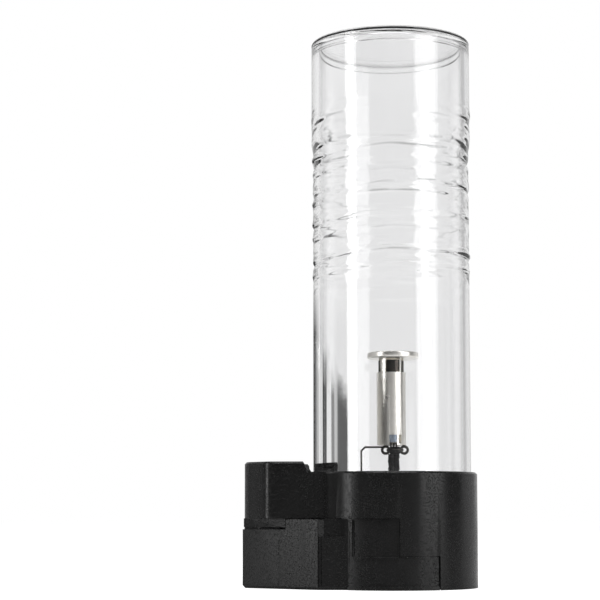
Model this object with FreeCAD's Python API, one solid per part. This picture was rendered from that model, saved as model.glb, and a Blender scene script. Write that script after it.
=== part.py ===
import FreeCAD, Part
import math
import os

# Millimetres. The base rests on z = 0, the lamp tube stands along +Z and the nose points to -X.
# Shapes are drawn with the tube axis at x = 0, then moved so the origin is the middle of the base.

# Lamp tube, set by the standard 50 mm lamp diameter
TUBE_R = 25.0
TUBE_WALL = 2.0
TUBE_IN_R = TUBE_R - TUBE_WALL
TUBE_FOOT_Z = 14.0
SLEEVE_STEP = 0.5
SLEEVE_R = TUBE_R + SLEEVE_STEP
SEAL_Z = 94.0
SEAL_STEP_Z = 142.2
SEAL_STEP_RUN = 3.6
SLEEVE_Z = 152.0
DISC_Z = 172.8
WINDOW_T = 1.8
TUBE_TOP_Z = DISC_Z + WINDOW_T
WINDOW_EDGE = 0.8
RIPPLE_RISE = 0.18
RIPPLE_PITCH = 9.4
RIPPLE_WIDTH = 3.2
RIPPLE_COUNT = 4

# Stem, the re-entrant foot of the envelope
STEM_WALL = 1.5
STEM_SKIRT_Z = 16.0
STEM_SKIRT_W = 2.0
STEM_SKIRT_IN_R = TUBE_IN_R - STEM_SKIRT_W
STEM_NECK_R = 13.0
STEM_NECK_Z = 26.0
STEM_SHOULDER_Z = 30.0
STEM_BROW_R = 9.5
STEM_BROW_Z = 33.2
STEM_CROWN_R = 5.0
STEM_TOP_Z = 34.5
EXHAUST_X = 6.4
EXHAUST_Y = 2.6
EXHAUST_R = 2.6
EXHAUST_BORE_R = 1.5
EXHAUST_TIP = 1.6
EXHAUST_TIP_Z = 17.0
EXHAUST_BORE_Z = 19.8

# Round lobe of the base
BOND_GAP = 0.4
LOBE_WALL = 1.5
LOBE_BORE_R = TUBE_R + BOND_GAP
LOBE_R = LOBE_BORE_R + LOBE_WALL
LOBE_TOP_Z = 36.1
LOBE_EDGE = 0.6
BORE_EDGE = 0.5
RING_GAP = 0.25
RING_CLEAR_R = LOBE_R + RING_GAP
RING_WALL = 1.45
INNER_WALL_R = RING_CLEAR_R + RING_WALL

# Nose of the base, upper moulding
NOSE_REACH = 19.5
NOSE_HALF = 16.8
NOSE_CHAMFER = 8.0
NOSE_END_X = -(LOBE_R + NOSE_REACH)
NOSE_CHAMFER_X = NOSE_END_X + NOSE_CHAMFER
NOSE_END_HALF = NOSE_HALF - NOSE_CHAMFER
NOSE_STEP = 3.2
NOSE_TOP_Z = LOBE_TOP_Z + NOSE_STEP
NOSE_BOTTOM_Z = 21.7
NOSE_CORNER_R = 6.0
NOSE_TOP_EDGE = 0.6
NOSE_WALL = 2.0
CEILING_Z = NOSE_TOP_Z - NOSE_WALL
TROUGH_CEILING_Z = LOBE_TOP_Z - NOSE_WALL
TROUGH_SHELF = 3.3
TROUGH_COVE = 1.8
TROUGH_R = LOBE_R + TROUGH_SHELF
TROUGH_LIP_R = TROUGH_R + TROUGH_COVE

# Lower outline, shared by the flange and the lower moulding
FOOT_LIP = 0.6
FOOT_END_X = NOSE_END_X - FOOT_LIP
FOOT_END_HALF = 7.6
FLARE_SETBACK = 4.1
FLARE_X = -(LOBE_R - FLARE_SETBACK)
FLAT_SETBACK = 4.2
FLAT_HALF = LOBE_R - FLAT_SETBACK
PANEL_SET = 0.5
PANEL_R = LOBE_R - PANEL_SET
FLAT_END_X = -math.sqrt(PANEL_R**2 - FLAT_HALF**2)
FLARE_SLOPE = math.atan2(FLAT_HALF - FOOT_END_HALF, FLARE_X - FOOT_END_X)
SHROUD_NOSE = 12.0
SHROUD_CORNER_X = FOOT_END_X + SHROUD_NOSE
SHROUD_HALF = FOOT_END_HALF + SHROUD_NOSE * math.tan(FLARE_SLOPE)
OUTLINE_CORNER_R = 1.2

# Flange and back band of the upper moulding
FLANGE_T = 2.7
FLANGE_Z = NOSE_BOTTOM_Z - FLANGE_T
FLANGE_INSET = 0.35
APRON_STEP_RUN = 2.1
APRON_STEP_X = SHROUD_CORNER_X + APRON_STEP_RUN
FLANGE_STOP_X = APRON_STEP_X - RING_GAP
BAND_DROP = 4.3
BAND_Z = FLANGE_Z - BAND_DROP
BAND_WALL = 2.0
LEDGE_W = 0.8
LEDGE_T = 0.9
LEDGE_IN_R = LOBE_BORE_R - LEDGE_W

# Lower moulding: shroud, floor and front apron
SEAM = 0.7
SHROUD_TOP_Z = FLANGE_Z - SEAM
SHROUD_WALL = 2.6
FOOT_EDGE = 0.9
LIP_GAP = 0.3
LIP_WALL = 1.2
LIP_DROP = 2.0
LIP_OUT = SHROUD_WALL + LIP_GAP
LIP_IN = LIP_OUT + LIP_WALL
FLOOR_BOTTOM_Z = 8.0
FLOOR_T = 2.5
FLOOR_TOP_Z = FLOOR_BOTTOM_Z + FLOOR_T
POST_R = 1.6
POST_GAP = 0.3
POST_X = -(INNER_WALL_R + POST_R + POST_GAP)
POST_Y = SHROUD_HALF - SHROUD_WALL - POST_R - POST_GAP
KEY_LEDGE_W = 2.0
KEY_LEDGE_X = -(INNER_WALL_R + KEY_LEDGE_W)
KEY_LEDGE_Z = 3.0
KEY_SOCKET_SET = 1.9
KEY_SOCKET_X = KEY_LEDGE_X + KEY_SOCKET_SET
KEY_SOCKET_Y = 6.5
KEY_SOCKET_R = 0.9
KEY_SOCKET_DEPTH = 3.0
SLOT_SILL = 0.5
SLOT_H = 5.5
SLOT_Z = FLOOR_TOP_Z + SLOT_SILL
SLOT_TOP_Z = SLOT_Z + SLOT_H
SLOT_HALF = 4.0
SHROUD_SLOT_HALF = 6.0
APRON_TOP_Z = NOSE_BOTTOM_Z - RING_GAP
BRIDGE_W = 3.3
BRIDGE_X = FLAT_END_X - BRIDGE_W
PANEL_CLEAR = 0.2
PANEL_IN_R = LOBE_BORE_R + PANEL_CLEAR
PANEL_STEP_X = 2.1
PANEL_END_X = 14.3
PANEL_LOW_Z = 10.0
PANEL_GAP = 0.25
REBATE_T = 0.35
REBATE_CLEAR = 0.05
REBATE_W = 0.8
REBATE_R = LOBE_BORE_R + REBATE_T
LIP_TOP_Z = 1.1
LABEL_DEPTH = 0.3
LABEL_BORDER = 0.3
LABEL_X0 = -11.8
LABEL_X1 = PANEL_STEP_X - LABEL_BORDER
LABEL_R = PANEL_R - LABEL_DEPTH
BEAD_RISE = 0.25
BEAD_W = 0.6
BEAD_R = PANEL_R + BEAD_RISE
BEAD_SET = 1.1
BEAD_X = LABEL_X0 - BEAD_SET
BEAD_LOW_Z = PANEL_LOW_Z - BEAD_W
POCKET_W = 6.3
POCKET_SLOPE = 1.7
POCKET_LAND = 1.1
POCKET_X1 = FLAT_END_X - POCKET_LAND
POCKET_X0 = POCKET_X1 - POCKET_W
POCKET_Z = 16.2
POCKET_DEPTH = 1.3
GROOVE_W = 0.35
GROOVE_DEPTH = 0.5
GROOVE_SET = 0.1
GROOVE_PITCH = 0.85
GROOVE_LEFT_X = FLARE_X + GROOVE_SET
GROOVE_RIGHT_X = GROOVE_LEFT_X + GROOVE_PITCH
UNDER_RIM = 1.7
UNDER_RECESS = 0.8
UNDER_SLOT_W = 1.2
UNDER_SLOT_L = 4.6
UNDER_SLOT_DEPTH = 3.0

# Terminal cup under the tube
CUP_GAP = 0.3
CUP_R = LOBE_BORE_R - CUP_GAP
CUP_FLOOR_T = 2.0
CUP_TOP_Z = FLOOR_TOP_Z
CUP_FLOOR_Z = CUP_TOP_Z - CUP_FLOOR_T
CUP_SEAT = 0.9
CUP_RIM_IN_R = TUBE_IN_R - CUP_SEAT
CUP_SKIRT_GAP = 0.1
CUP_SKIRT_WALL = 0.5
CUP_SKIRT_R = LEDGE_IN_R - CUP_SKIRT_GAP
CUP_SKIRT_IN_R = CUP_SKIRT_R - CUP_SKIRT_WALL
CUP_SKIRT_Z = 0.5
CUP_WINDOW_R = 8.0

# Pins
SPARE_PIN_INSET = 5.1
ANODE_PIN_STEP = 7.5
LEFT_PIN_STEP = 5.0
RIGHT_PIN_STEP = 8.5
CATHODE_PIN_STEP = 4.0
SPARE_PIN_X = -(CUP_R - SPARE_PIN_INSET)
ANODE_PIN_X = SPARE_PIN_X + ANODE_PIN_STEP
LEFT_PIN_X = SPARE_PIN_X + LEFT_PIN_STEP
RIGHT_PIN_X = SPARE_PIN_X + RIGHT_PIN_STEP
CATHODE_PIN_X = SPARE_PIN_X + CATHODE_PIN_STEP
SPARE_PIN_Y = -5.0
ANODE_PIN_Y = -7.0
LEFT_PIN_Y = -3.5
RIGHT_PIN_Y = -2.5
CATHODE_PIN_Y = 0.5
TERMINALS = {"anode": (ANODE_PIN_X, ANODE_PIN_Y), "left": (LEFT_PIN_X, LEFT_PIN_Y),
             "right": (RIGHT_PIN_X, RIGHT_PIN_Y), "spare": (SPARE_PIN_X, SPARE_PIN_Y),
             "cathode": (CATHODE_PIN_X, CATHODE_PIN_Y)}
TERMINAL_R = 0.9
TERMINAL_COLLAR_R = 1.4
TERMINAL_DROP = 2.3
TERMINAL_TIP_Z = CUP_FLOOR_Z - TERMINAL_DROP
TERMINAL_RISE = 2.9
TERMINAL_TOP_Z = CUP_TOP_Z + TERMINAL_RISE
CONTACT_R = 0.8
CONTACT_COLLAR_R = 1.5
COLLAR_H = 0.8
CONTACT_TIP_Z = 2.5
CONTACT_TOP_Z = 13.0
PIN_TIP = 0.5
CONTACT_FRONT_SET = 6.9
CONTACT_FRONT_X = FOOT_END_X + CONTACT_FRONT_SET
CONTACT_FRONT_Y = 3.8
CONTACT_BACK_SET = 13.3
CONTACT_BACK_X = FOOT_END_X + CONTACT_BACK_SET
CONTACT_BACK_Y = 8.0
CONTACTS = [(CONTACT_FRONT_X, -CONTACT_FRONT_Y), (CONTACT_FRONT_X, CONTACT_FRONT_Y),
            (CONTACT_BACK_X, -CONTACT_BACK_Y), (CONTACT_BACK_X, CONTACT_BACK_Y)]

# Board, chip and wires in the nose
BOARD_T = 1.6
BOARD_TOP_Z = FLOOR_TOP_Z + BOARD_T
BOARD_CLEAR = 0.3
CHIP_L = 3.0
CHIP_W = 5.0
CHIP_H = 1.5
CHIP_SET = 3.5
CHIP_X = CONTACT_FRONT_X + CHIP_SET
WIRE_R = 0.5
WIRE_PITCH = 1.6
WIRE_SET = 0.7
WIRE_Z = BOARD_TOP_Z + WIRE_R
WIRE_START_X = CONTACT_BACK_X + WIRE_SET
WIRE_ENDS = ["anode", "left", "cathode", "right"]
WIRE_LONG_RUN = 9.0
WIRE_MID_RUN = 5.0
WIRE_SHORT_RUN = 3.0
WIRE_RUNS = {"anode": WIRE_LONG_RUN, "left": WIRE_MID_RUN, "cathode": WIRE_SHORT_RUN,
             "right": WIRE_SHORT_RUN}

# Bonding ring between glass and base
BOND_T = 2.6
BOND_DROP = 0.5
BOND_TOP_Z = LOBE_TOP_Z - BOND_DROP

# Electrode assembly, from the axis outwards and from the foot up
CATHODE_X = -0.15
CATHODE_BORE_R = 1.5
CATHODE_BORE_DEPTH = 15.0
CATHODE_LOW_R = 3.4
INSULATOR_WALL = 0.85
SHIELD_IN_R = CATHODE_LOW_R + INSULATOR_WALL
SHIELD_WALL = 0.35
SHIELD_R = SHIELD_IN_R + SHIELD_WALL
CATHODE_FIT = 0.2
CATHODE_R = SHIELD_IN_R - CATHODE_FIT
SHIELD_Z = 44.8
INSULATOR_RISE = 0.7
INSULATOR_Z = SHIELD_Z + INSULATOR_RISE
CATHODE_FOOT_Z = 50.0
CATHODE_TOP_Z = 71.8
CATHODE_NECK_H = 3.9
SHIELD_TOP_Z = CATHODE_TOP_Z - CATHODE_NECK_H
CATHODE_SEAT = 1.4
CATHODE_SHOULDER_Z = SHIELD_TOP_Z - CATHODE_SEAT
WASHER_T = 0.5
WASHER_INSET = 0.15
WASHER_R = CATHODE_R - WASHER_INSET
WASHER_BORE_R = 2.0
DISC_UNDER_Z = CATHODE_TOP_Z + WASHER_T
DISC_T = 2.0
DISC_TOP_Z = DISC_UNDER_Z + DISC_T
DISC_X = 0.5
DISC_R = 8.2
DISC_BORE_R = 2.6
DISC_EDGE = 0.4
SLOT_A_X0 = -0.8
SLOT_A_X1 = 1.6
SLOT_B_X0 = 2.15
SLOT_B_X1 = 3.0
SLOT_RISE = 3.2
SLOT_HEAD_Z = SHIELD_Z + SLOT_RISE
SLOT_B_STEP = 0.5
SLOT_B_FOOT_Z = SHIELD_Z + SLOT_B_STEP
TAB_A_X0 = -3.5
TAB_A_X1 = -1.8
TAB_B_X0 = 2.6
TAB_B_X1 = 3.1
STRIP_T = 0.2
STRIP_R = SHIELD_IN_R + STRIP_T
STRIP_LIFT = 0.1
STRIP_FOOT_Z = INSULATOR_Z + STRIP_LIFT

# Bead, clip, sleeves and leads
BEAD_MID_X = 0.95
BEAD_BALL_R = 1.9
BEAD_DROP = 0.4
BEAD_H = 2.4
BEAD_TOP_Z = SHIELD_Z - BEAD_DROP
BEAD_FOOT_Z = BEAD_TOP_Z - BEAD_H
BEAD_EDGE = 0.5
CLIP_LOOP_R = 1.1
CLIP_WIRE_R = 0.35
CLIP_CLEAR = 0.05
CLIP_REACH = 2.95
CLIP_Z = SHIELD_Z - CLIP_LOOP_R - CLIP_WIRE_R - CLIP_CLEAR
CLIP_SIDES = 6
LEAD_PITCH = 0.9
BUNDLE_SHIFT = 0.4
BUNDLE_X = BEAD_MID_X - BUNDLE_SHIFT
LEAD_FRONT_Y = -0.45
LEAD_BACK_Y = 1.05
SUPPORTS = {"left": (BUNDLE_X - LEAD_PITCH, LEAD_FRONT_Y),
            "right": (BUNDLE_X + LEAD_PITCH, LEAD_FRONT_Y),
            "cathode": (BUNDLE_X, LEAD_BACK_Y)}
LEAD_SLEEVE_R = 0.75
LEAD_R = 0.3
LEAD_KNEE_Z = 28.0
LEAD_FOOT_Z = 16.0
ANODE_LEAD_X = -9.75
ANODE_LEAD_Y = -0.6
ANODE_LEAD_LIFT = 0.9
ANODE_LEAD_TOP_Z = CLIP_Z + ANODE_LEAD_LIFT
ANODE_LEAD_BEND = 1.2

# The origin is the middle of the base box
AXIS_X = -(FOOT_END_X + LOBE_R) / 2.0
FAR = 3.0 * LOBE_R


def vec(x, y, z=0.0):
    return FreeCAD.Vector(x, y, z)


def box(x0, x1, y0, y1, z0, z1):
    return Part.makeBox(x1 - x0, y1 - y0, z1 - z0, vec(x0, y0, z0))


def rod(r, z0, z1, x=0.0, y=0.0):
    return Part.makeCylinder(r, z1 - z0, vec(x, y, z0))


def ring(r_out, r_in, z0, z1, x=0.0, y=0.0):
    return rod(r_out, z0, z1, x, y).cut(rod(r_in, z0, z1, x, y))


def slab(points, z0, z1):
    corners = [vec(x, y, z0) for x, y in points]
    wire = Part.makePolygon(corners + corners[:1])
    return Part.Face(wire).extrude(vec(0, 0, z1 - z0))


def inset_slab(points, inset, z0, z1):
    corners = [vec(x, y, z0) for x, y in points]
    wire = Part.makePolygon(corners + corners[:1]).makeOffset2D(-inset)
    return Part.Face(wire).extrude(vec(0, 0, z1 - z0))


def mirrored(points):
    return points + [(x, -y) for x, y in reversed(points)]


def spun(points):
    spots = [vec(r, 0, z) for r, z in points]
    face = Part.Face(Part.makePolygon(spots + spots[:1]))
    solid = face.revolve(vec(0, 0, 0), vec(0, 0, 1), 360)
    if solid.Volume < 0:
        solid.reverse()
    return solid


def round_edges(solid, z):
    return [e for e in solid.Edges if e.Closed and abs(e.BoundBox.ZMax - z) < 1e-6
            and abs(e.BoundBox.ZMin - z) < 1e-6]


def is_upright(edge):
    a, b = edge.Vertexes[0].Point, edge.Vertexes[-1].Point
    return abs(a.x - b.x) + abs(a.y - b.y) < 1e-6 and abs(a.z - b.z) > 1e-6


def rounded_upright(solid, radius, x_limit):
    edges = [e for e in solid.Edges if is_upright(e) and e.Vertexes[0].X < x_limit]
    return solid.makeFillet(radius, edges)


def wire_run(points, radius):
    section = Part.Wire([Part.makeCircle(radius, points[0], points[1] - points[0])])
    return Part.Wire(Part.makePolygon(points)).makePipeShell([section], True, True, 1)


def export(name, shape):
    placed = shape.removeSplitter()
    placed.translate(vec(AXIS_X, 0, 0))
    placed.exportStep("parts/" + name + ".step")


# Glass envelope

def glass_tube():
    return ring(TUBE_R, TUBE_IN_R, TUBE_FOOT_Z, SEAL_Z)


def graded_seal():
    outer = [(TUBE_R, SEAL_Z)]
    for index in range(RIPPLE_COUNT):
        crest_z = SEAL_Z + RIPPLE_PITCH * (index + 0.5)
        outer.append((TUBE_R, crest_z - RIPPLE_WIDTH / 2))
        outer.append((TUBE_R + RIPPLE_RISE, crest_z))
        outer.append((TUBE_R, crest_z + RIPPLE_WIDTH / 2))
    outer += [(TUBE_R, SEAL_STEP_Z - SEAL_STEP_RUN), (SLEEVE_R, SEAL_STEP_Z), (SLEEVE_R, SLEEVE_Z)]
    return spun(outer + [(TUBE_IN_R, SLEEVE_Z), (TUBE_IN_R, SEAL_Z)])


def window_sleeve():
    return ring(SLEEVE_R, TUBE_IN_R, SLEEVE_Z, DISC_Z)


def end_window():
    disc = rod(SLEEVE_R, DISC_Z, TUBE_TOP_Z)
    return disc.makeChamfer(WINDOW_EDGE, round_edges(disc, TUBE_TOP_Z))


def stem_solid(skirt_r, inset):
    z_inset = inset if inset > 0 else 0.0
    return spun([(0, TUBE_FOOT_Z), (skirt_r, TUBE_FOOT_Z), (skirt_r, STEM_SKIRT_Z - 2 * z_inset / 3),
                 (STEM_NECK_R - inset, STEM_NECK_Z - z_inset / 2),
                 (STEM_NECK_R - inset, STEM_SHOULDER_Z - z_inset / 2),
                 (STEM_BROW_R - inset / 2, STEM_BROW_Z - z_inset),
                 (STEM_CROWN_R - inset / 3, STEM_TOP_Z - z_inset), (0, STEM_TOP_Z - z_inset)])


def exhaust_pipe():
    tip = Part.makeCone(EXHAUST_R - EXHAUST_TIP, EXHAUST_R, EXHAUST_TIP,
                        vec(EXHAUST_X, EXHAUST_Y, EXHAUST_TIP_Z))
    pipe = rod(EXHAUST_R, EXHAUST_TIP_Z + EXHAUST_TIP, STEM_TOP_Z - STEM_WALL, EXHAUST_X, EXHAUST_Y)
    return pipe.fuse(tip)


def glass_stem():
    wall = stem_solid(TUBE_IN_R, 0.0).cut(stem_solid(STEM_SKIRT_IN_R, STEM_WALL))
    stem = wall.fuse(exhaust_pipe())
    stem = stem.cut(rod(EXHAUST_BORE_R, EXHAUST_BORE_Z, STEM_TOP_Z, EXHAUST_X, EXHAUST_Y))
    for lead in [anode_lead()] + [support_lead(name) for name in SUPPORTS]:
        stem = stem.cut(lead)
    return stem


# Base, upper moulding

def nose_outline(inset=0.0):
    cut = inset * math.tan(math.pi / 8)
    return mirrored([(0.0, -NOSE_HALF + inset),
                     (NOSE_CHAMFER_X + cut, -NOSE_HALF + inset),
                     (NOSE_END_X + inset, -NOSE_END_HALF + cut)])


def foot_slab(inset, z0, z1):
    base = slab(mirrored([(0.0, -FLAT_HALF), (FLARE_X, -FLAT_HALF), (FOOT_END_X, -FOOT_END_HALF)]),
                z0, z1)
    base = rounded_upright(base, OUTLINE_CORNER_R, FLARE_X + 1.0)
    face = [f for f in base.Faces if abs(f.BoundBox.ZMax - z0) < 1e-6][0]
    shrunk = face.OuterWire.makeOffset2D(-inset)
    return Part.Face(shrunk).extrude(vec(0, 0, z1 - z0))


def lobe():
    return spun([(LOBE_BORE_R + BORE_EDGE, 0), (LOBE_R, 0), (LOBE_R, LOBE_TOP_Z - LOBE_EDGE),
                 (LOBE_R - LOBE_EDGE, LOBE_TOP_Z), (LOBE_BORE_R, LOBE_TOP_Z),
                 (LOBE_BORE_R, BORE_EDGE)])


def trough():
    return spun([(0, LOBE_TOP_Z), (TROUGH_R, LOBE_TOP_Z),
                 (TROUGH_R + 0.6 * TROUGH_COVE, LOBE_TOP_Z + 0.2 * NOSE_STEP),
                 (TROUGH_R + 0.9 * TROUGH_COVE, LOBE_TOP_Z + 0.55 * NOSE_STEP),
                 (TROUGH_LIP_R, NOSE_TOP_Z), (TROUGH_LIP_R, FAR), (0, FAR)])


def nose_block():
    nose = slab(nose_outline(), NOSE_BOTTOM_Z, NOSE_TOP_Z)
    nose = rounded_upright(nose, NOSE_CORNER_R, NOSE_CHAMFER_X + 1.0)
    top = [e for e in nose.Edges if abs(e.BoundBox.ZMin - NOSE_TOP_Z) < 1e-6
           and e.BoundBox.XMin < NOSE_CHAMFER_X + 1.0]
    return nose.makeChamfer(NOSE_TOP_EDGE, top).cut(trough())


def flange():
    plate = foot_slab(FLANGE_INSET, FLANGE_Z, NOSE_BOTTOM_Z)
    front = box(FLANGE_STOP_X, FAR, -FAR, 0, FLANGE_Z, NOSE_BOTTOM_Z)
    band = foot_slab(FLANGE_INSET, BAND_Z, FLANGE_Z)
    band = band.cut(foot_slab(FLANGE_INSET + BAND_WALL, BAND_Z, FLANGE_Z))
    band = band.common(box(APRON_STEP_X, 0, SHROUD_HALF + RING_GAP, FAR, BAND_Z, FLANGE_Z))
    return plate.cut(front).fuse(band)


def nose_hollow():
    hollow = slab(nose_outline(NOSE_WALL), BAND_Z, CEILING_Z)
    hollow = rounded_upright(hollow, NOSE_CORNER_R - NOSE_WALL, NOSE_CHAMFER_X + 1.0)
    shelf_z = NOSE_BOTTOM_Z + NOSE_WALL
    throat = slab(shroud_outline(LIP_IN), BAND_Z, shelf_z).common(hollow)
    hollow = hollow.cut(box(-FAR, FAR, -FAR, FAR, BAND_Z, shelf_z)).fuse(throat)
    roof = rod(TROUGH_LIP_R + NOSE_WALL, TROUGH_CEILING_Z, CEILING_Z)
    return hollow.cut(roof).cut(rod(LOBE_R, BAND_Z, CEILING_Z))


def seam_lip():
    lip = slab(shroud_outline(LIP_OUT), FLANGE_Z - LIP_DROP, NOSE_BOTTOM_Z)
    lip = lip.cut(slab(shroud_outline(LIP_IN), FLANGE_Z - LIP_DROP, NOSE_BOTTOM_Z))
    return lip.cut(rod(INNER_WALL_R + RING_GAP, BAND_Z, FAR))


def panel_shape(trim, top_z):
    tall = box(BRIDGE_X - PANEL_GAP, PANEL_STEP_X - trim, -FAR, 0, -1, top_z - trim)
    low = box(BRIDGE_X - PANEL_GAP, PANEL_END_X - trim, -FAR, 0, -1, PANEL_LOW_Z - trim)
    return tall.fuse(low)


def apron_opening():
    outer = panel_shape(-PANEL_GAP, APRON_TOP_Z).cut(rod(REBATE_R, -2, FAR))
    return outer.fuse(panel_shape(REBATE_W - PANEL_GAP, APRON_TOP_Z))


def base_housing():
    ledge = ring(LOBE_BORE_R, LEDGE_IN_R, CUP_FLOOR_Z - LEDGE_T, CUP_FLOOR_Z)
    body = lobe().fuse([nose_block(), flange(), ledge])
    body = body.cut(nose_hollow()).fuse(seam_lip())
    body = body.cut(rod(LOBE_BORE_R, CUP_FLOOR_Z, FAR))
    body = body.cut(rod(LEDGE_IN_R, -1, CUP_FLOOR_Z))
    body = body.cut(apron_opening())
    body = body.cut(box(-RING_CLEAR_R, 0, -SLOT_HALF, SLOT_HALF, SLOT_Z, SLOT_TOP_Z))
    posts = [rod(POST_R, FLOOR_TOP_Z, CEILING_Z, POST_X, side * POST_Y) for side in (-1, 1)]
    return body.fuse(posts)


# Base, lower moulding

def foot_edged(solid, is_outside):
    edges = [e for e in solid.Edges if e.BoundBox.ZMax < 1e-6 and e.CenterOfMass.x < BRIDGE_X - 1e-6
             and is_outside(e.CenterOfMass)]
    return solid.makeChamfer(FOOT_EDGE, edges)


def shroud_outline(inset=0.0):
    nose_cut = inset * math.tan((math.pi / 2 - FLARE_SLOPE) / 2)
    side_cut = inset * math.tan(FLARE_SLOPE / 2)
    return mirrored([(BRIDGE_X, -SHROUD_HALF + inset),
                     (SHROUD_CORNER_X + side_cut, -SHROUD_HALF + inset),
                     (FOOT_END_X + inset, -FOOT_END_HALF + nose_cut)])


def shroud():
    outer = slab(shroud_outline(), 0, SHROUD_TOP_Z)
    outer = rounded_upright(outer, OUTLINE_CORNER_R, SHROUD_CORNER_X + 1.0)
    outer = foot_edged(outer, lambda mid: mid.x < SHROUD_CORNER_X or mid.y > 0)
    inner = slab(shroud_outline(SHROUD_WALL), -1, SHROUD_TOP_Z + 1)
    inner = inner.cut(rod(INNER_WALL_R, -1, SHROUD_TOP_Z + 1))
    floor = slab(shroud_outline(SHROUD_WALL / 2), FLOOR_BOTTOM_Z, FLOOR_TOP_Z)
    ledge = slab(shroud_outline(SHROUD_WALL / 2), KEY_LEDGE_Z, FLOOR_TOP_Z)
    ledge = ledge.common(box(KEY_LEDGE_X, 0, -FAR, FAR, 0, FAR))
    body = outer.cut(inner).fuse([floor, ledge])
    for side in (-1, 1):
        body = body.cut(rod(KEY_SOCKET_R, 0, KEY_LEDGE_Z + KEY_SOCKET_DEPTH,
                            KEY_SOCKET_X, side * KEY_SOCKET_Y))
    return body.cut(box(-INNER_WALL_R - RING_GAP, 0, -SHROUD_SLOT_HALF, SHROUD_SLOT_HALF,
                        SLOT_Z, FAR))


def apron_underside():
    corner = [(SHROUD_CORNER_X, -SHROUD_HALF), (FLARE_X, -FLAT_HALF), (FLARE_X, -SHROUD_HALF)]
    recess = inset_slab(corner, UNDER_RIM, 0, UNDER_RECESS)
    slot_y = -(SHROUD_HALF + FLAT_HALF) / 2
    slot = box(FLARE_X, FLARE_X + UNDER_SLOT_W, slot_y - UNDER_SLOT_L / 2,
               slot_y + UNDER_SLOT_L / 2, 0, UNDER_SLOT_DEPTH)
    return recess.fuse(slot)


def apron_block():
    inner_y = -SHROUD_HALF + SHROUD_WALL
    outline = [(SHROUD_CORNER_X, -SHROUD_HALF), (FLARE_X, -FLAT_HALF), (FLAT_END_X, -FLAT_HALF),
               (FLAT_END_X, inner_y), (SHROUD_CORNER_X, inner_y)]
    block = slab(outline, 0, APRON_TOP_Z)
    block = foot_edged(block, lambda mid: mid.y < -SHROUD_HALF and mid.x > SHROUD_CORNER_X)
    block = block.cut(box(-FAR, APRON_STEP_X, -FAR, 0, SHROUD_TOP_Z, FAR))
    block = block.cut(apron_underside())
    outside = block.cut(rod(RING_CLEAR_R, -1, FAR))
    bridge = block.common(box(BRIDGE_X, 0, -FAR, 0, 0, FAR))
    bridge = bridge.cut(rod(REBATE_R + REBATE_CLEAR, -1, FAR))
    return outside.fuse(bridge)


def panel():
    front = ring(PANEL_R, REBATE_R + REBATE_CLEAR, 0, APRON_TOP_Z).common(panel_shape(0, APRON_TOP_Z))
    back = ring(PANEL_R, PANEL_IN_R, 0, APRON_TOP_Z).common(panel_shape(REBATE_W, APRON_TOP_Z))
    sheet = front.fuse(back).common(box(FLAT_END_X - PANEL_GAP, FAR, -FAR, 0, 0, FAR))
    upright = ring(BEAD_R, LABEL_R, BEAD_LOW_Z, APRON_TOP_Z)
    upright = upright.common(box(BEAD_X, BEAD_X + BEAD_W, -FAR, 0, BEAD_LOW_Z, APRON_TOP_Z))
    level = ring(BEAD_R, LABEL_R, BEAD_LOW_Z, PANEL_LOW_Z)
    level = level.common(box(BEAD_X, PANEL_STEP_X, -FAR, 0, BEAD_LOW_Z, PANEL_LOW_Z))
    lip = ring(LOBE_R, REBATE_R + REBATE_CLEAR, 0, LIP_TOP_Z)
    lip = lip.common(box(FLAT_END_X, PANEL_END_X, -FAR, 0, 0, LIP_TOP_Z))
    label = box(LABEL_X0, LABEL_X1, -FAR, 0, PANEL_LOW_Z, APRON_TOP_Z - LABEL_BORDER)
    label = label.cut(rod(LABEL_R, -1, FAR))
    return sheet.fuse([lip, upright, level]).cut(label)


def latch_pocket():
    face_y = -FLAT_HALF
    back_y = face_y + POCKET_DEPTH
    outline = [(POCKET_X0 - POCKET_SLOPE, -FAR), (POCKET_X0 - POCKET_SLOPE, face_y),
               (POCKET_X0, back_y), (POCKET_X1, back_y), (POCKET_X1, -FAR)]
    return slab(outline, POCKET_Z, FAR)


def groove(x):
    return box(x, x + GROOVE_W, -FAR, -FLAT_HALF + GROOVE_DEPTH, LIP_TOP_Z, POCKET_Z)


def connector_base():
    body = shroud().fuse([apron_block(), panel()])
    body = body.cut(rod(RING_CLEAR_R, -1, FAR).common(box(-FAR, BRIDGE_X, -FAR, FAR, -1, FAR)))
    body = body.cut(latch_pocket())
    body = body.cut(groove(GROOVE_LEFT_X)).cut(groove(GROOVE_RIGHT_X))
    for x, y in CONTACTS:
        body = body.cut(rod(CONTACT_R, 0, FAR, x, y))
    return body


# Terminal side

def terminal_cup():
    floor = rod(CUP_R, CUP_FLOOR_Z, CUP_TOP_Z)
    rim = ring(CUP_R, CUP_RIM_IN_R, CUP_TOP_Z, TUBE_FOOT_Z)
    rim = rim.cut(box(-FAR, 0, -SLOT_HALF, SLOT_HALF, CUP_TOP_Z, FAR))
    skirt = ring(CUP_SKIRT_R, CUP_SKIRT_IN_R, CUP_SKIRT_Z, CUP_FLOOR_Z)
    cup = floor.fuse([rim, skirt]).cut(rod(CUP_WINDOW_R, -1, FAR))
    for x, y in TERMINALS.values():
        cup = cup.cut(rod(TERMINAL_R, -1, FAR, x, y))
    return cup


def collared_pin(spot, r, tip_z, top_z, collar_r, collar_z):
    x, y = spot
    tip = Part.makeCone(r - PIN_TIP, r, PIN_TIP, vec(x, y, tip_z))
    shaft = rod(r, tip_z + PIN_TIP, top_z, x, y)
    return shaft.fuse([tip, rod(collar_r, collar_z, collar_z + COLLAR_H, x, y)])


def terminal_pin(spot):
    return collared_pin(spot, TERMINAL_R, TERMINAL_TIP_Z, TERMINAL_TOP_Z, TERMINAL_COLLAR_R,
                        CUP_TOP_Z)


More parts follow.
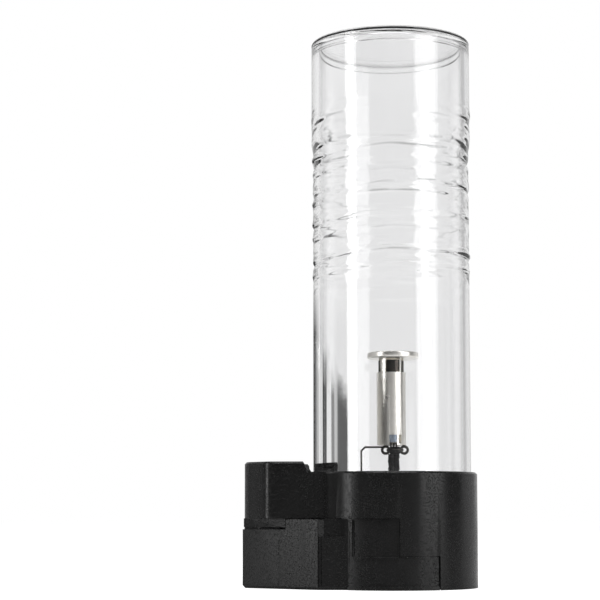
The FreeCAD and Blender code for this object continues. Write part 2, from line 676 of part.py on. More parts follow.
def contact_pin(spot):
    return collared_pin(spot, CONTACT_R, CONTACT_TIP_Z, CONTACT_TOP_Z, CONTACT_COLLAR_R,
                        FLOOR_BOTTOM_Z - COLLAR_H)


def connector_board():
    board = slab(shroud_outline(SHROUD_WALL + BOARD_CLEAR), FLOOR_TOP_Z, BOARD_TOP_Z)
    board = board.cut(rod(INNER_WALL_R + BOARD_CLEAR, -1, FAR))
    for x, y in CONTACTS:
        board = board.cut(rod(CONTACT_R, -1, FAR, x, y))
    for side in (-1, 1):
        board = board.cut(rod(POST_R + BOARD_CLEAR, -1, FAR, POST_X, side * POST_Y))
    return board


def memory_chip():
    return box(CHIP_X - CHIP_L / 2, CHIP_X + CHIP_L / 2, -CHIP_W / 2, CHIP_W / 2,
               BOARD_TOP_Z, BOARD_TOP_Z + CHIP_H)


def hookup_wire(number):
    name = WIRE_ENDS[number]
    end_x, end_y = TERMINALS[name]
    y = WIRE_PITCH * (number - (len(WIRE_ENDS) - 1) / 2)
    run = wire_run([vec(WIRE_START_X, y, WIRE_Z), vec(end_x - WIRE_RUNS[name], y, WIRE_Z),
                    vec(end_x, end_y, WIRE_Z)], WIRE_R)
    return run.cut(rod(TERMINAL_R, -1, FAR, end_x, end_y))


def bond_ring():
    return ring(LOBE_BORE_R, TUBE_R, BOND_TOP_Z - BOND_T, BOND_TOP_Z)


# Electrodes

def anode_disc():
    disc = ring(DISC_R, DISC_BORE_R, DISC_UNDER_Z, DISC_TOP_Z, DISC_X)
    rims = [e for e in disc.Edges if e.Closed and e.BoundBox.XLength > DISC_R + DISC_BORE_R]
    return disc.makeChamfer(DISC_EDGE, rims)


def disc_washer():
    return ring(WASHER_R, WASHER_BORE_R, CATHODE_TOP_Z, DISC_UNDER_Z, CATHODE_X)


def cathode_cup():
    low = rod(CATHODE_LOW_R, CATHODE_FOOT_Z, CATHODE_SHOULDER_Z, CATHODE_X)
    head = rod(CATHODE_R, CATHODE_SHOULDER_Z, CATHODE_TOP_Z, CATHODE_X)
    bore = rod(CATHODE_BORE_R, CATHODE_TOP_Z - CATHODE_BORE_DEPTH, FAR, CATHODE_X)
    return low.fuse(head).cut(bore)


def insulator_sleeve():
    return ring(SHIELD_IN_R, CATHODE_LOW_R, INSULATOR_Z, CATHODE_SHOULDER_Z, CATHODE_X)


def front_cut(x0, x1, z0, z1):
    return box(x0, x1, -FAR, 0, z0, z1)


def shield_sleeve():
    body = ring(SHIELD_R, SHIELD_IN_R, SHIELD_Z, SHIELD_TOP_Z, CATHODE_X)
    body = body.cut(front_cut(SLOT_A_X0, SLOT_A_X1, SHIELD_Z, SLOT_HEAD_Z))
    body = body.cut(front_cut(SLOT_B_X0, SLOT_B_X1, SLOT_B_FOOT_Z, SLOT_HEAD_Z))
    collar = ring(SHIELD_R, SHIELD_IN_R, SHIELD_TOP_Z, DISC_UNDER_Z, CATHODE_X)
    left = collar.common(front_cut(TAB_A_X0, TAB_A_X1, SHIELD_TOP_Z, DISC_UNDER_Z))
    right = collar.common(front_cut(TAB_B_X0, TAB_B_X1, SHIELD_TOP_Z, DISC_UNDER_Z))
    return body.fuse([left, right])


def getter_strip():
    strip = ring(STRIP_R, SHIELD_IN_R, STRIP_FOOT_Z, SLOT_HEAD_Z, CATHODE_X)
    return strip.common(front_cut(SLOT_A_X0, SLOT_A_X1, STRIP_FOOT_Z, SLOT_HEAD_Z))


def lead_bead():
    bead = rod(BEAD_BALL_R, BEAD_FOOT_Z, BEAD_TOP_Z, BEAD_MID_X)
    rims = round_edges(bead, BEAD_FOOT_Z) + round_edges(bead, BEAD_TOP_Z)
    bead = bead.makeChamfer(BEAD_EDGE, rims)
    for x, y in SUPPORTS.values():
        bead = bead.cut(rod(LEAD_R, -1, FAR, x, y))
    return bead


def wire_hoop(radius):
    points = []
    for step in range(CLIP_SIDES):
        turn = 2 * math.pi * (step + 0.5) / CLIP_SIDES
        points.append((radius + CLIP_WIRE_R * math.cos(turn), CLIP_WIRE_R * math.sin(turn)))
    return spun(points)


def clip_loop(side):
    loop = wire_hoop(CLIP_LOOP_R)
    loop.rotate(vec(0, 0), vec(1, 0), 90)
    loop.translate(vec(BEAD_MID_X + side * CLIP_REACH, 0, CLIP_Z))
    return loop


def spring_clip():
    collar = wire_hoop(BEAD_BALL_R + CLIP_WIRE_R)
    collar.translate(vec(BEAD_MID_X, 0, CLIP_Z))
    clip = collar.fuse([clip_loop(-1), clip_loop(1)])
    return clip.cut(rod(BEAD_BALL_R, -1, FAR, BEAD_MID_X))


def lead_sleeve(spot):
    x, y = spot
    return ring(LEAD_SLEEVE_R, LEAD_R, STEM_TOP_Z, BEAD_FOOT_Z, x, y)


def support_lead(name):
    x, y = SUPPORTS[name]
    end_x, end_y = TERMINALS[name]
    return wire_run([vec(x, y, CATHODE_FOOT_Z), vec(x, y, LEAD_KNEE_Z),
                     vec(end_x, end_y, LEAD_FOOT_Z), vec(end_x, end_y, TERMINAL_TOP_Z)], LEAD_R)


def anode_lead():
    end_x, end_y = TERMINALS["anode"]
    start_x = BEAD_MID_X - CLIP_REACH
    run = wire_run([vec(start_x, ANODE_LEAD_Y, ANODE_LEAD_TOP_Z),
                    vec(ANODE_LEAD_X + ANODE_LEAD_BEND, ANODE_LEAD_Y, ANODE_LEAD_TOP_Z),
                    vec(ANODE_LEAD_X, ANODE_LEAD_Y, ANODE_LEAD_TOP_Z - ANODE_LEAD_BEND),
                    vec(ANODE_LEAD_X, ANODE_LEAD_Y, LEAD_KNEE_Z),
                    vec(end_x, end_y, LEAD_FOOT_Z), vec(end_x, end_y, TERMINAL_TOP_Z)], LEAD_R)
    return run.cut(spring_clip())


def main():
    os.makedirs("parts", exist_ok=True)
    export("glass_tube", glass_tube())
    export("graded_seal", graded_seal())
    export("window_sleeve", window_sleeve())
    export("end_window", end_window())
    export("glass_stem", glass_stem())
    export("base_housing", base_housing())
    export("connector_base", connector_base())
    export("terminal_cup", terminal_cup())
    export("bond_ring", bond_ring())
    export("connector_board", connector_board())
    export("memory_chip", memory_chip())
    for number, spot in enumerate(TERMINALS.values(), start=1):
        export("terminal_pin_%d" % number, terminal_pin(spot))
    for number, spot in enumerate(CONTACTS, start=1):
        export("contact_pin_%d" % number, contact_pin(spot))
    for number in range(len(WIRE_ENDS)):
        export("hookup_wire_%d" % (number + 1), hookup_wire(number))
    export("anode_disc", anode_disc())
    export("disc_washer", disc_washer())
    export("cathode_cup", cathode_cup())
    export("insulator_sleeve", insulator_sleeve())
    export("shield_sleeve", shield_sleeve())
    export("getter_strip", getter_strip())
    export("lead_bead", lead_bead())
    export("spring_clip", spring_clip())
    for number, spot in enumerate(SUPPORTS.values(), start=1):
        export("lead_sleeve_%d" % number, lead_sleeve(spot))
    export("anode_lead", anode_lead())
    export("support_lead_left", support_lead("left"))
    export("support_lead_right", support_lead("right"))
    export("cathode_lead", support_lead("cathode"))


main()
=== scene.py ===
"""A hollow cathode lamp: a rippled glass envelope in a black two-part moulded base.

Lengths in the classes are millimetres. The meshes are made in metres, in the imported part's frame.
"""
import logging
import math
from dataclasses import dataclass
from enum import Enum
from typing import Callable, Sequence

import bmesh
import bpy
from mathutils import Matrix, Vector, noise


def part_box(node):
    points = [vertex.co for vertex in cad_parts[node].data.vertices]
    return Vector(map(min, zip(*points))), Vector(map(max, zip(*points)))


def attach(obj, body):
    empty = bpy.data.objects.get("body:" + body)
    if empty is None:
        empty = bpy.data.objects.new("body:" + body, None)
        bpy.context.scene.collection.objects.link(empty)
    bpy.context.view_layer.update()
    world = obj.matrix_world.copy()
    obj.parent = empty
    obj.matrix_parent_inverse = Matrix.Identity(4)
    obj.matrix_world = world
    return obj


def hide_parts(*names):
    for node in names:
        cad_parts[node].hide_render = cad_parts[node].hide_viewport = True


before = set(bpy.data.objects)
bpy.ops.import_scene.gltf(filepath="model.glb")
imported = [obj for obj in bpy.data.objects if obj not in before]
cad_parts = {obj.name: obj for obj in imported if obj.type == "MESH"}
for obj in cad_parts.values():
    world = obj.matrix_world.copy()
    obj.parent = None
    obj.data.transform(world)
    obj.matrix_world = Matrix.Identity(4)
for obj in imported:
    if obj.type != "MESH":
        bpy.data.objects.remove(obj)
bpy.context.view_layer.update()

LOG = logging.getLogger("lamp")
MM = 0.001
FULL_TURN = 2.0 * math.pi
ORIGIN = (0.0, 0.0, 0.0)
UP = (0.0, 0.0, 1.0)
SHARP = 28.0
FLAT = 0.4
# Pointiness range of the sharp edges, which are coloured lighter for wear and as a painted highlight.
EDGE_WEAR_AND_HIGHLIGHT = (0.52, 0.6)
ALONG_X = (1.0, 0.06, 0.06)
ALONG_Z = (0.06, 0.06, 1.0)

Point = tuple[float, float]
Spot = tuple[float, float, float]
Colour = tuple[float, float, float]
Socket = bpy.types.NodeSocket
Source = Socket | float | tuple[float, ...]
Mesh = bmesh.types.BMesh


class Slot(Enum):
    """The record's material slots."""

    GLASS = "clear_glass"
    HOUSING = "housing_black"
    CONNECTOR = "connector_black"
    CUP = "cup_black"
    BOND = "bond_black"
    BOARD = "board_green"
    CHIP = "chip_black"
    TERMINAL = "terminal_plated"
    CONTACT = "contact_gold"
    WIRE = "wire_insulation"
    NICKEL = "nickel_polished"
    CATHODE = "cathode_dark"
    CERAMIC = "ceramic_pale"
    GETTER = "getter_grey"
    SLEEVE = "sleeve_black"
    LEAD = "lead_nickel"


# Finishes

class Tree:
    """A node tree, with short calls for the nodes that the finishes and the studio share."""

    def __init__(self, tree: bpy.types.NodeTree) -> None:
        """Takes a material's or a world's node tree."""
        self.nodes, self.links = tree.nodes, tree.links

    def join(self, source: Source, socket: Socket) -> None:
        """Links a node's output to an input, or sets a plain value there.

        Args:
            source: The output or the value.
            socket: The input.
        """
        if isinstance(source, Socket):
            self.links.new(source, socket)
        else:
            socket.default_value = source

    def node(self, kind: str, **sources: Source) -> bpy.types.Node:
        """Makes a node.

        Args:
            kind: Its type, without the words ShaderNode.
            sources: What its inputs are joined to, with underscores for blanks in their names.

        Returns:
            The new node.
        """
        node = self.nodes.new("ShaderNode" + kind)
        for key, source in sources.items():
            self.join(source, node.inputs[key.replace("_", " ")])
        return node

    def apart(self, place: Socket) -> tuple[Socket, ...]:
        """The X, Y and Z of coordinates."""
        return tuple(self.node("SeparateXYZ", Vector=place).outputs)

    def maths(self, operation: str, first: Socket | float, second: Socket | float = 0.0) -> Socket:
        """One sum.

        Args:
            operation: The Math node's operation.
            first: Its first value or socket.
            second: Its second value or socket.

        Returns:
            The result.
        """
        node = self.node("Math")
        node.operation = operation
        self.join(first, node.inputs[0])
        self.join(second, node.inputs[1])
        return node.outputs[0]

    def spread(self, source: Socket, low: float, high: float, start: float = 0.3,
               end: float = 0.7) -> Socket:
        """Maps a range of one value to another range.

        Args:
            source: The value to map.
            low: What start becomes.
            high: What end becomes.
            start: The lowest value read.
            end: The highest value read.

        Returns:
            The mapped value.
        """
        return self.node("MapRange", Value=source, From_Min=start, From_Max=end, To_Min=low,
                         To_Max=high).outputs["Result"]

    def mixed(self, factor: Socket, first: Socket | float, second: Socket | float) -> Socket:
        """Goes from one value to another.

        Args:
            factor: 0 gives the first and 1 the second.
            first: A value or a socket.
            second: A value or a socket.

        Returns:
            The mixed value.
        """
        node = self.node("Mix", Factor=factor)
        self.join(first, node.inputs[2])
        self.join(second, node.inputs[3])
        return node.outputs[0]


class Graph(Tree):
    """A material's node tree round one shader."""

    def __init__(self, name: str) -> None:
        """Starts an empty material with one shader.

        Args:
            name: The finish's plain name.
        """
        self.material = bpy.data.materials.new(name)
        self.material.use_nodes = True
        super().__init__(self.material.node_tree)
        self.nodes.clear()
        self.shader = self.node("BsdfPrincipled")
        self.node("OutputMaterial", Surface=self.shader.outputs["BSDF"])
        self.place = self.node("TexCoord").outputs["Object"]

    def set(self, **sources: Source) -> None:
        """Joins up the shader's inputs, with underscores for blanks in their names."""
        for key, source in sources.items():
            self.join(source, self.shader.inputs[key.replace("_", " ")])

    def blend(self, factor: Socket, first: Colour | Socket, second: Colour) -> Socket:
        """Mixes two colours.

        Args:
            factor: 0 gives the first and 1 the second.
            first: A colour or a colour socket.
            second: The other colour.

        Returns:
            The mixed colour.
        """
        mix = self.node("Mix", Factor=factor)
        mix.data_type = "RGBA"
        self.join((*first, 1.0) if isinstance(first, tuple) else first, mix.inputs[6])
        self.join((*second, 1.0), mix.inputs[7])
        return mix.outputs[2]

    def worn_and_highlit_edges(self) -> Socket:
        """A mask of the sharp outer edges, where wear and a painted highlight go: 0 on faces and 1 on
        edges.
        """
        return self.spread(self.node("NewGeometry").outputs["Pointiness"], 0.0, 1.0, *EDGE_WEAR_AND_HIGHLIGHT)

    def shade(self, mask: Socket, colour: Colour, share: float) -> None:
        """Colours the shader, with only a share of the colour left where the mask is 1."""
        self.set(Base_Color=self.blend(mask, colour, tuple(part * share for part in colour)))

    def relief(self, height: Socket, depth: float, strength: float = 1.0) -> None:
        """Gives the shader a relief.

        Args:
            height: The value that is read as height.
            depth: The depth of the relief in millimetres.
            strength: How much of it shows.
        """
        bump = self.node("Bump", Height=height, Distance=depth * MM, Strength=strength)
        self.set(Normal=bump.outputs["Normal"])


@dataclass(frozen=True)
class Noise:
    """A layer of cloudy noise: a patch's size in millimetres, its finer layers and its stretch."""

    size: float
    detail: float = 3.0
    run: Spot = (1.0, 1.0, 1.0)

    def over(self, graph: Graph) -> Socket:
        """The layer's value, from 0 to 1."""
        place = graph.node("Mapping", Vector=graph.place, Scale=self.run).outputs["Vector"]
        return graph.node("TexNoise", Vector=place, Scale=1.0 / (self.size * MM),
                          Detail=self.detail).outputs["Fac"]


@dataclass(frozen=True)
class Finish:
    """What a surface looks like."""

    name: str

    def make(self) -> bpy.types.Material:
        """Builds the finish.

        Returns:
            Its material.
        """
        graph = Graph(self.name)
        self.paint(graph)
        return graph.material

    def paint(self, graph: Graph) -> None:
        """Joins up the nodes of the finish."""
        raise NotImplementedError


@dataclass(frozen=True)
class MouldedPlastic(Finish):
    """Black moulded plastic with the fine grain of a spark-eroded tool."""

    tone: float
    rough: float
    gloss: float
    grain: float
    grain_depth: float
    wear_and_highlight_tone: float
    cloud: Noise = Noise(9.0, 4.0)
    smear: Noise = Noise(5.0, run=(1.0, 1.0, 0.15))
    smear_rough: Point = (-0.05, 0.06)
    pit_rough: float = 0.06
    pits: Point = (0.54, 0.64)

    def paint(self, graph: Graph) -> None:
        """Sets the cloudy black, the edges lighter for wear and as a painted highlight, the smears
        and the grain.

        Args:
            graph: The finish's node tree.
        """
        base = graph.blend(graph.spread(self.cloud.over(graph), 0.0, 1.0), (self.tone,) * 3,
                           (self.tone * 1.3, self.tone * 1.3, self.tone * 1.35))
        # The sharp edges are lighter: partly wear, partly a painted highlight along the edges.
        graph.set(Base_Color=graph.blend(graph.worn_and_highlit_edges(), base, (self.wear_and_highlight_tone,) * 3))
        pits = graph.spread(Noise(self.grain, 0.0).over(graph), 0.0, 1.0, *self.pits)
        smear = self.smear.over(graph)
        low, high = self.smear_rough
        graph.set(Roughness=graph.maths(
            "ADD", graph.spread(smear, self.rough + low, self.rough + high),
            graph.spread(pits, 0.0, self.pit_rough, 0.0, 1.0)))
        graph.relief(pits, self.grain_depth)
        graph.set(Specular_IOR_Level=self.gloss)


@dataclass(frozen=True)
class ClearGlass(Finish):
    """Drawn borosilicate glass, with the getter's metal film on the inside of one wall.

    The film is a mirror that was flashed onto the side that faces the nose. Its side is sharp, and
    its top fades away and slopes.
    """

    name: str = "clear drawn glass"
    face_tint: float = 0.93
    # Painted shade: the darker colour that the glass takes at its silhouette, standing in for the
    # dark edges of the tube.
    painted_side_shade: float = 0.72
    ior: float = 1.474
    inner_r: float = 23.0
    film_tone: float = 0.9
    film_rough: float = 0.03
    film_skin: Point = (0.5, 0.9)
    film_side: float = -14.2
    film_blur: float = 0.25
    film_turn: float = 0.056
    film_low_top: float = 57.0
    film_high_top: float = 75.0
    film_fade: float = 7.0
    film_patch: Noise = Noise(6.0)
    film_ragged: float = 3.0
    drawing: Noise = Noise(7.0, 2.0, (1.0, 1.0, 0.12))

    def film(self, graph: Graph) -> Socket:
        """The mask of the metal film.

        Args:
            graph: The glass's node tree.

        Returns:
            1 where the film covers the inner wall.
        """
        x, y, z = graph.apart(graph.place)
        x = graph.maths("ADD", x, -middle("end_window").x * MM)
        squares = graph.maths("ADD", graph.maths("MULTIPLY", x, x), graph.maths("MULTIPLY", y, y))
        near, far = self.film_skin
        inside = graph.spread(graph.maths("SQRT", squares), 1.0, 0.0,
                              (self.inner_r + near) * MM, (self.inner_r + far) * MM)
        slant = graph.maths("ADD", x, graph.maths("MULTIPLY", y, self.film_turn))
        side = graph.spread(slant, 1.0, 0.0, (self.film_side - self.film_blur) * MM,
                            (self.film_side + self.film_blur) * MM)
        top = graph.spread(x, self.film_high_top * MM, self.film_low_top * MM,
                           -self.inner_r * MM, self.film_side * MM)
        ragged = graph.spread(self.film_patch.over(graph), -self.film_ragged * MM,
                              self.film_ragged * MM)
        over = graph.maths("ADD", graph.maths("SUBTRACT", z, top), ragged)
        height = graph.spread(over, 1.0, 0.0, -self.film_fade * MM, self.film_fade * MM)
        return graph.maths("MULTIPLY", graph.maths("MULTIPLY", inside, side), height)

    def paint(self, graph: Graph) -> None:
        """Sets the tint, darkened towards the silhouette as painted shade, the film and the faint
        drawing lines.

        Args:
            graph: The finish's node tree.
        """
        # Painted shade: the colour goes from the face tint to the darker side value towards the
        # silhouette.
        facing = graph.node("LayerWeight", Blend=0.5).outputs["Facing"]
        edge = graph.spread(facing, 0.0, 1.0, 0.5, 1.0)
        tint_and_painted_shade = graph.blend(edge, (self.face_tint, self.face_tint, self.face_tint * 1.003),
                           (self.painted_side_shade, self.painted_side_shade, self.painted_side_shade * 1.01))
        film = self.film(graph)
        graph.set(Base_Color=graph.blend(film, tint_and_painted_shade, (self.film_tone,) * 3), Metallic=film,
                  Roughness=graph.spread(film, 0.0, self.film_rough, 0.0, 1.0))
        graph.relief(self.drawing.over(graph), 0.03, strength=0.6)
        graph.set(IOR=self.ior, Transmission_Weight=1.0, Specular_IOR_Level=0.5)


@dataclass(frozen=True)
class Stained(Finish):
    """A stained surface with a fine grain: as it stands, metal with turning or drawing lines.

    The stain also sets how rough a metal is, and the grain does so for anything else.
    """

    colour: Colour
    rough: Point
    grain: Noise
    depth: float
    stain: Noise = Noise(3.5)
    cover: tuple[float, ...] = (0.0, 1.0)
    share: float = 0.88
    strength: float = 0.7
    metal: float = 1.0
    gloss: float = 0.5

    def paint(self, graph: Graph) -> None:
        """Sets the stained colour, the roughness and the grain.

        Args:
            graph: The finish's node tree.
        """
        stain, grain = self.stain.over(graph), self.grain.over(graph)
        graph.shade(graph.spread(stain, *self.cover), self.colour, self.share)
        graph.set(Roughness=graph.spread(stain if self.metal else grain, *self.rough))
        graph.relief(grain, self.depth, self.strength)
        graph.set(Metallic=self.metal, Specular_IOR_Level=self.gloss)


@dataclass(frozen=True)
class BoardLaminate(Finish):
    """Green solder mask over a woven laminate."""

    name: str = "green board laminate"
    colour: Colour = (0.012, 0.11, 0.045)
    weave: float = 2.0
    haze: Noise = Noise(4.0)

    def paint(self, graph: Graph) -> None:
        """Sets the mask's colour and the weave under it.

        Args:
            graph: The finish's node tree.
        """
        weave = graph.node("TexBrick", Vector=graph.place, Scale=1.0 / (self.weave * MM),
                           Mortar_Size=0.04)
        haze = self.haze.over(graph)
        graph.shade(graph.spread(haze, 0.0, 1.0), self.colour, 1.5)
        graph.set(Roughness=graph.spread(haze, 0.3, 0.45))
        graph.relief(weave.outputs["Fac"], 0.02)


BRAID = Noise(0.35, 2.0, (1.0, 1.0, 1.8))
JACKET = Noise(1.2, 2.0)
FINISHES = {
    Slot.GLASS: ClearGlass(),
    Slot.HOUSING: MouldedPlastic("black housing plastic", 0.002, 0.2, 0.28, 0.46, 0.24, 0.005),
    Slot.CONNECTOR: MouldedPlastic("black connector plastic", 0.002, 0.28, 0.32, 0.48, 0.22, 0.005),
    Slot.CUP: MouldedPlastic("smooth black cup plastic", 0.01, 0.32, 0.4, 0.4, 0.02, 0.03),
    Slot.BOND: MouldedPlastic("black bonding cement", 0.008, 0.3, 0.4, 1.0, 0.12, 0.02),
    Slot.BOARD: BoardLaminate(),
    Slot.CHIP: MouldedPlastic("black epoxy package", 0.015, 0.55, 0.35, 0.2, 0.02, 0.03),
    Slot.TERMINAL: Stained("bright plated terminal", (0.80, 0.79, 0.76), (0.16, 0.23),
                           Noise(0.12, run=ALONG_Z), 0.01),
    Slot.CONTACT: Stained("gold plated contact", (0.83, 0.66, 0.36), (0.2, 0.27),
                          Noise(0.12, run=ALONG_Z), 0.01),
    Slot.WIRE: Stained("grey wire jacket", (0.30, 0.30, 0.31), (0.35, 0.5), JACKET, 0.03,
                       stain=JACKET, share=0.8, strength=1.0, metal=0.0),
    Slot.NICKEL: Stained("polished nickel", (0.9, 0.88, 0.83), (0.27, 0.34),
                         Noise(0.1, run=ALONG_Z), 0.003),
    Slot.CATHODE: Stained("dark polished cathode", (0.05, 0.043, 0.038), (0.1, 0.17),
                          Noise(0.1, run=ALONG_Z), 0.006),
    Slot.CERAMIC: Stained("pale fired ceramic", (0.74, 0.68, 0.56), (0.5, 0.75), Noise(0.25), 0.03,
                          stain=Noise(2.5), cover=(0.0, 0.6), share=0.75, strength=0.8, metal=0.0),
    Slot.GETTER: Stained("blue-grey getter strip", (0.32, 0.37, 0.44), (0.35, 0.42),
                         Noise(0.3, run=ALONG_Z), 0.02),
    Slot.SLEEVE: Stained("black braided sleeving", (0.009, 0.009, 0.009), (0.55, 0.85), BRAID, 0.12,
                         stain=BRAID, cover=(0.0, 1.0, 0.45, 0.7), share=6.0, strength=1.0,
                         metal=0.0, gloss=0.3),
    Slot.LEAD: Stained("dull nickel wire", (0.1, 0.097, 0.09), (0.25, 0.32),
                       Noise(0.15, run=ALONG_X), 0.01),
}


# Workshop

class Shelf:
    """Keeps one material for each slot and hands the finished pieces to the frame."""

    def __init__(self) -> None:
        """Makes every finish once."""
        self.materials = {slot: finish.make() for slot, finish in FINISHES.items()}
        self.count = 0

    def place(self, name: str, mesh: Mesh, slot: Slot, nodes: Sequence[str] = ()) -> bpy.types.Object:
        """Turns a bmesh into a finished piece.

        Args:
            name: The piece's name.
            mesh: Its shape, in metres and in place. It is freed.
            slot: The slot it takes its finish from.
            nodes: The CAD nodes that it stands for.

        Returns:
            The new object.
        """
        data = bpy.data.meshes.new(name)
        mesh.to_mesh(data)
        mesh.free()
        data.polygons.foreach_set("use_smooth", [True] * len(data.polygons))
        data.materials.append(self.materials[slot])
        piece = bpy.data.objects.new(name, data)
        bpy.context.scene.collection.objects.link(piece)
        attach(piece, "root")
        if nodes:
            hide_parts(*nodes)
        self.count += 1
        LOG.info("%-24s %6d faces", name, len(data.polygons))
        return piece

    def copy(self, name: str, node: str, slot: Slot, edge: float, segments: int = 2,
             trim: Callable[[Mesh], None] | None = None) -> None:
        """Places a copy of a CAD node with its edges rounded, in millimetres, and trimmed first."""
        soften(self.place(name, merged_copy(node, trim), slot, (node,)), edge, segments)

    def dress(self, node: str, slot: Slot) -> None:
        """Gives a CAD node that stays visible its finish.

        Args:
            node: The CAD node.
            slot: The slot it takes its finish from.
        """
        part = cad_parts[node]
        for holder in part.material_slots:
            holder.material = self.materials[slot]
        LOG.info("%-24s keeps its CAD shape", node)


def soften(piece: bpy.types.Object, width: float, segments: int = 2, sharp: float = SHARP) -> None:
    """Rounds a piece's sharp edges, as a mould or a lathe leaves them.

    Args:
        piece: The piece to soften.
        width: The radius in millimetres.
        segments: How many steps a rounding has.
        sharp: The least angle, in degrees, that counts as an edge.
    """
    bevel = piece.modifiers.new("rounded edges", "BEVEL")
    bevel.width = width * MM
    bevel.segments = segments
    bevel.limit_method = "ANGLE"
    bevel.angle_limit = math.radians(sharp)
    bevel.miter_outer = "MITER_ARC"
    bevel.use_clamp_overlap = True
    bevel.harden_normals = True


def tidy(mesh: Mesh) -> Mesh:
    """Merges doubles and turns the faces outwards.

    Args:
        mesh: The shape.

    Returns:
        The same shape.
    """
    bmesh.ops.remove_doubles(mesh, verts=mesh.verts, dist=1e-7)
    bmesh.ops.recalc_face_normals(mesh, faces=mesh.faces)
    return mesh


def spun(mesh: Mesh, steps: int) -> Mesh:
    """Spins everything in a mesh once round the upright axis and tidies it."""
    bmesh.ops.spin(mesh, geom=list(mesh.verts) + list(mesh.edges), cent=ORIGIN, axis=UP,
                   angle=FULL_TURN, steps=steps, use_merge=True, use_duplicate=False)
    return tidy(mesh)


def turned(profile: Sequence[Point], closed: bool = False, steps: int = 96,
           centre: Spot = ORIGIN) -> Mesh:
    """Spins a profile once round an upright axis.

    Args:
        profile: Points of radius and height in millimetres.
        closed: Joins the last point to the first, for a ring.
        steps: How many sides the turned piece has.
        centre: Where the axis stands, in millimetres.

    Returns:
        The turned shape in metres.
    """
    mesh = bmesh.new()
    spots = [mesh.verts.new((r * MM, 0.0, z * MM)) for r, z in profile]
    for pair in list(zip(spots, spots[1:])) + ([(spots[-1], spots[0])] if closed else []):
        mesh.edges.new(pair)
    spun(mesh, steps)
    bmesh.ops.translate(mesh, verts=mesh.verts, vec=Vector(centre) * MM)
    return mesh


def hoop(radius: float, wire: float, steps: int = 64, sides: int = 12) -> Mesh:
    """A ring of round wire, lying flat round the origin.

    Args:
        radius: From the axis to the middle of the wire, in millimetres.
        wire: The wire's radius in millimetres.
        steps: Divisions round the ring.
        sides: Divisions round the wire.

    Returns:
        The ring in metres.
    """
    mesh = bmesh.new()
    turn = Matrix.Translation((radius * MM, 0.0, 0.0)) @ Matrix.Rotation(math.pi / 2, 4, "X")
    bmesh.ops.create_circle(mesh, segments=sides, radius=wire * MM, matrix=turn)
    return spun(mesh, steps)


def round_corner(radius: float, height: float, size: float, steps: int) -> list[Point]:
    """The rounded upper corner of a turned profile, from its side to its top."""
    return [(radius - size * (1.0 - math.cos(a)), height - size * (1.0 - math.sin(a)))
            for a in (math.pi / 2 * step / steps for step in range(steps + 1))]


def round_line(radius: float, height: float, depth: float, half: float, steps: int) -> list[Point]:
    """A shallow round line in a turned wall, from below to above, with half its width given."""
    return [(radius - depth * math.sin(a), height - half * math.cos(a))
            for a in (math.pi * step / steps for step in range(steps + 1))]


def wander(turn: float, scale: float, z: float, shift: float = 0.0) -> float:
    """Smooth noise round an upright axis, from about -1 to 1. The shift reads it elsewhere."""
    return noise.noise(Vector((math.cos(turn) * scale + shift, math.sin(turn) * scale, z)))


def joined(*parts: Mesh) -> Mesh:
    """Puts several shapes into one.

    Args:
        parts: The shapes. They are freed.

    Returns:
        The whole.
    """
    whole = bmesh.new()
    for part in parts:
        data = bpy.data.meshes.new("joined part")
        part.to_mesh(data)
        part.free()
        whole.from_mesh(data)
        bpy.data.meshes.remove(data)
    return whole


def merged_copy(node: str, trim: Callable[[Mesh], None] | None = None) -> Mesh:
    """A copy of a CAD node with its loose triangles merged into whole faces.

    Faces within FLAT degrees become one, and edges over SHARP degrees are shaded as edges.

    Args:
        node: The CAD node's name.
        trim: Trims the copy before its faces are merged.

    Returns:
        The copy in metres.
    """
    mesh = bmesh.new()
    mesh.from_mesh(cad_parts[node].data)
    bmesh.ops.remove_doubles(mesh, verts=mesh.verts, dist=1e-6)
    if trim is not None:
        trim(mesh)
    bmesh.ops.dissolve_limit(mesh, angle_limit=math.radians(FLAT), verts=mesh.verts,
                             edges=mesh.edges, delimit=set())
    for edge in mesh.edges:
        edge.smooth = not edge.is_manifold or edge.calc_face_angle() < math.radians(SHARP)
    return mesh


def middle(node: str) -> Vector:
    """The middle of a CAD node's box, in millimetres."""
    low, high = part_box(node)
    return (low + high) / 2 / MM


def foot_and_head(node: str) -> Point:
    """The lowest and the highest point of a CAD node, in millimetres."""
    low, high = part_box(node)
    return low.z / MM, high.z / MM


# Sub-assemblies

@dataclass
class Assembly:
    """A sub-assembly of the lamp, and the shelf that its pieces go on."""

    shelf: Shelf

    def build(self) -> None:
        """Builds the pieces."""
        raise NotImplementedError


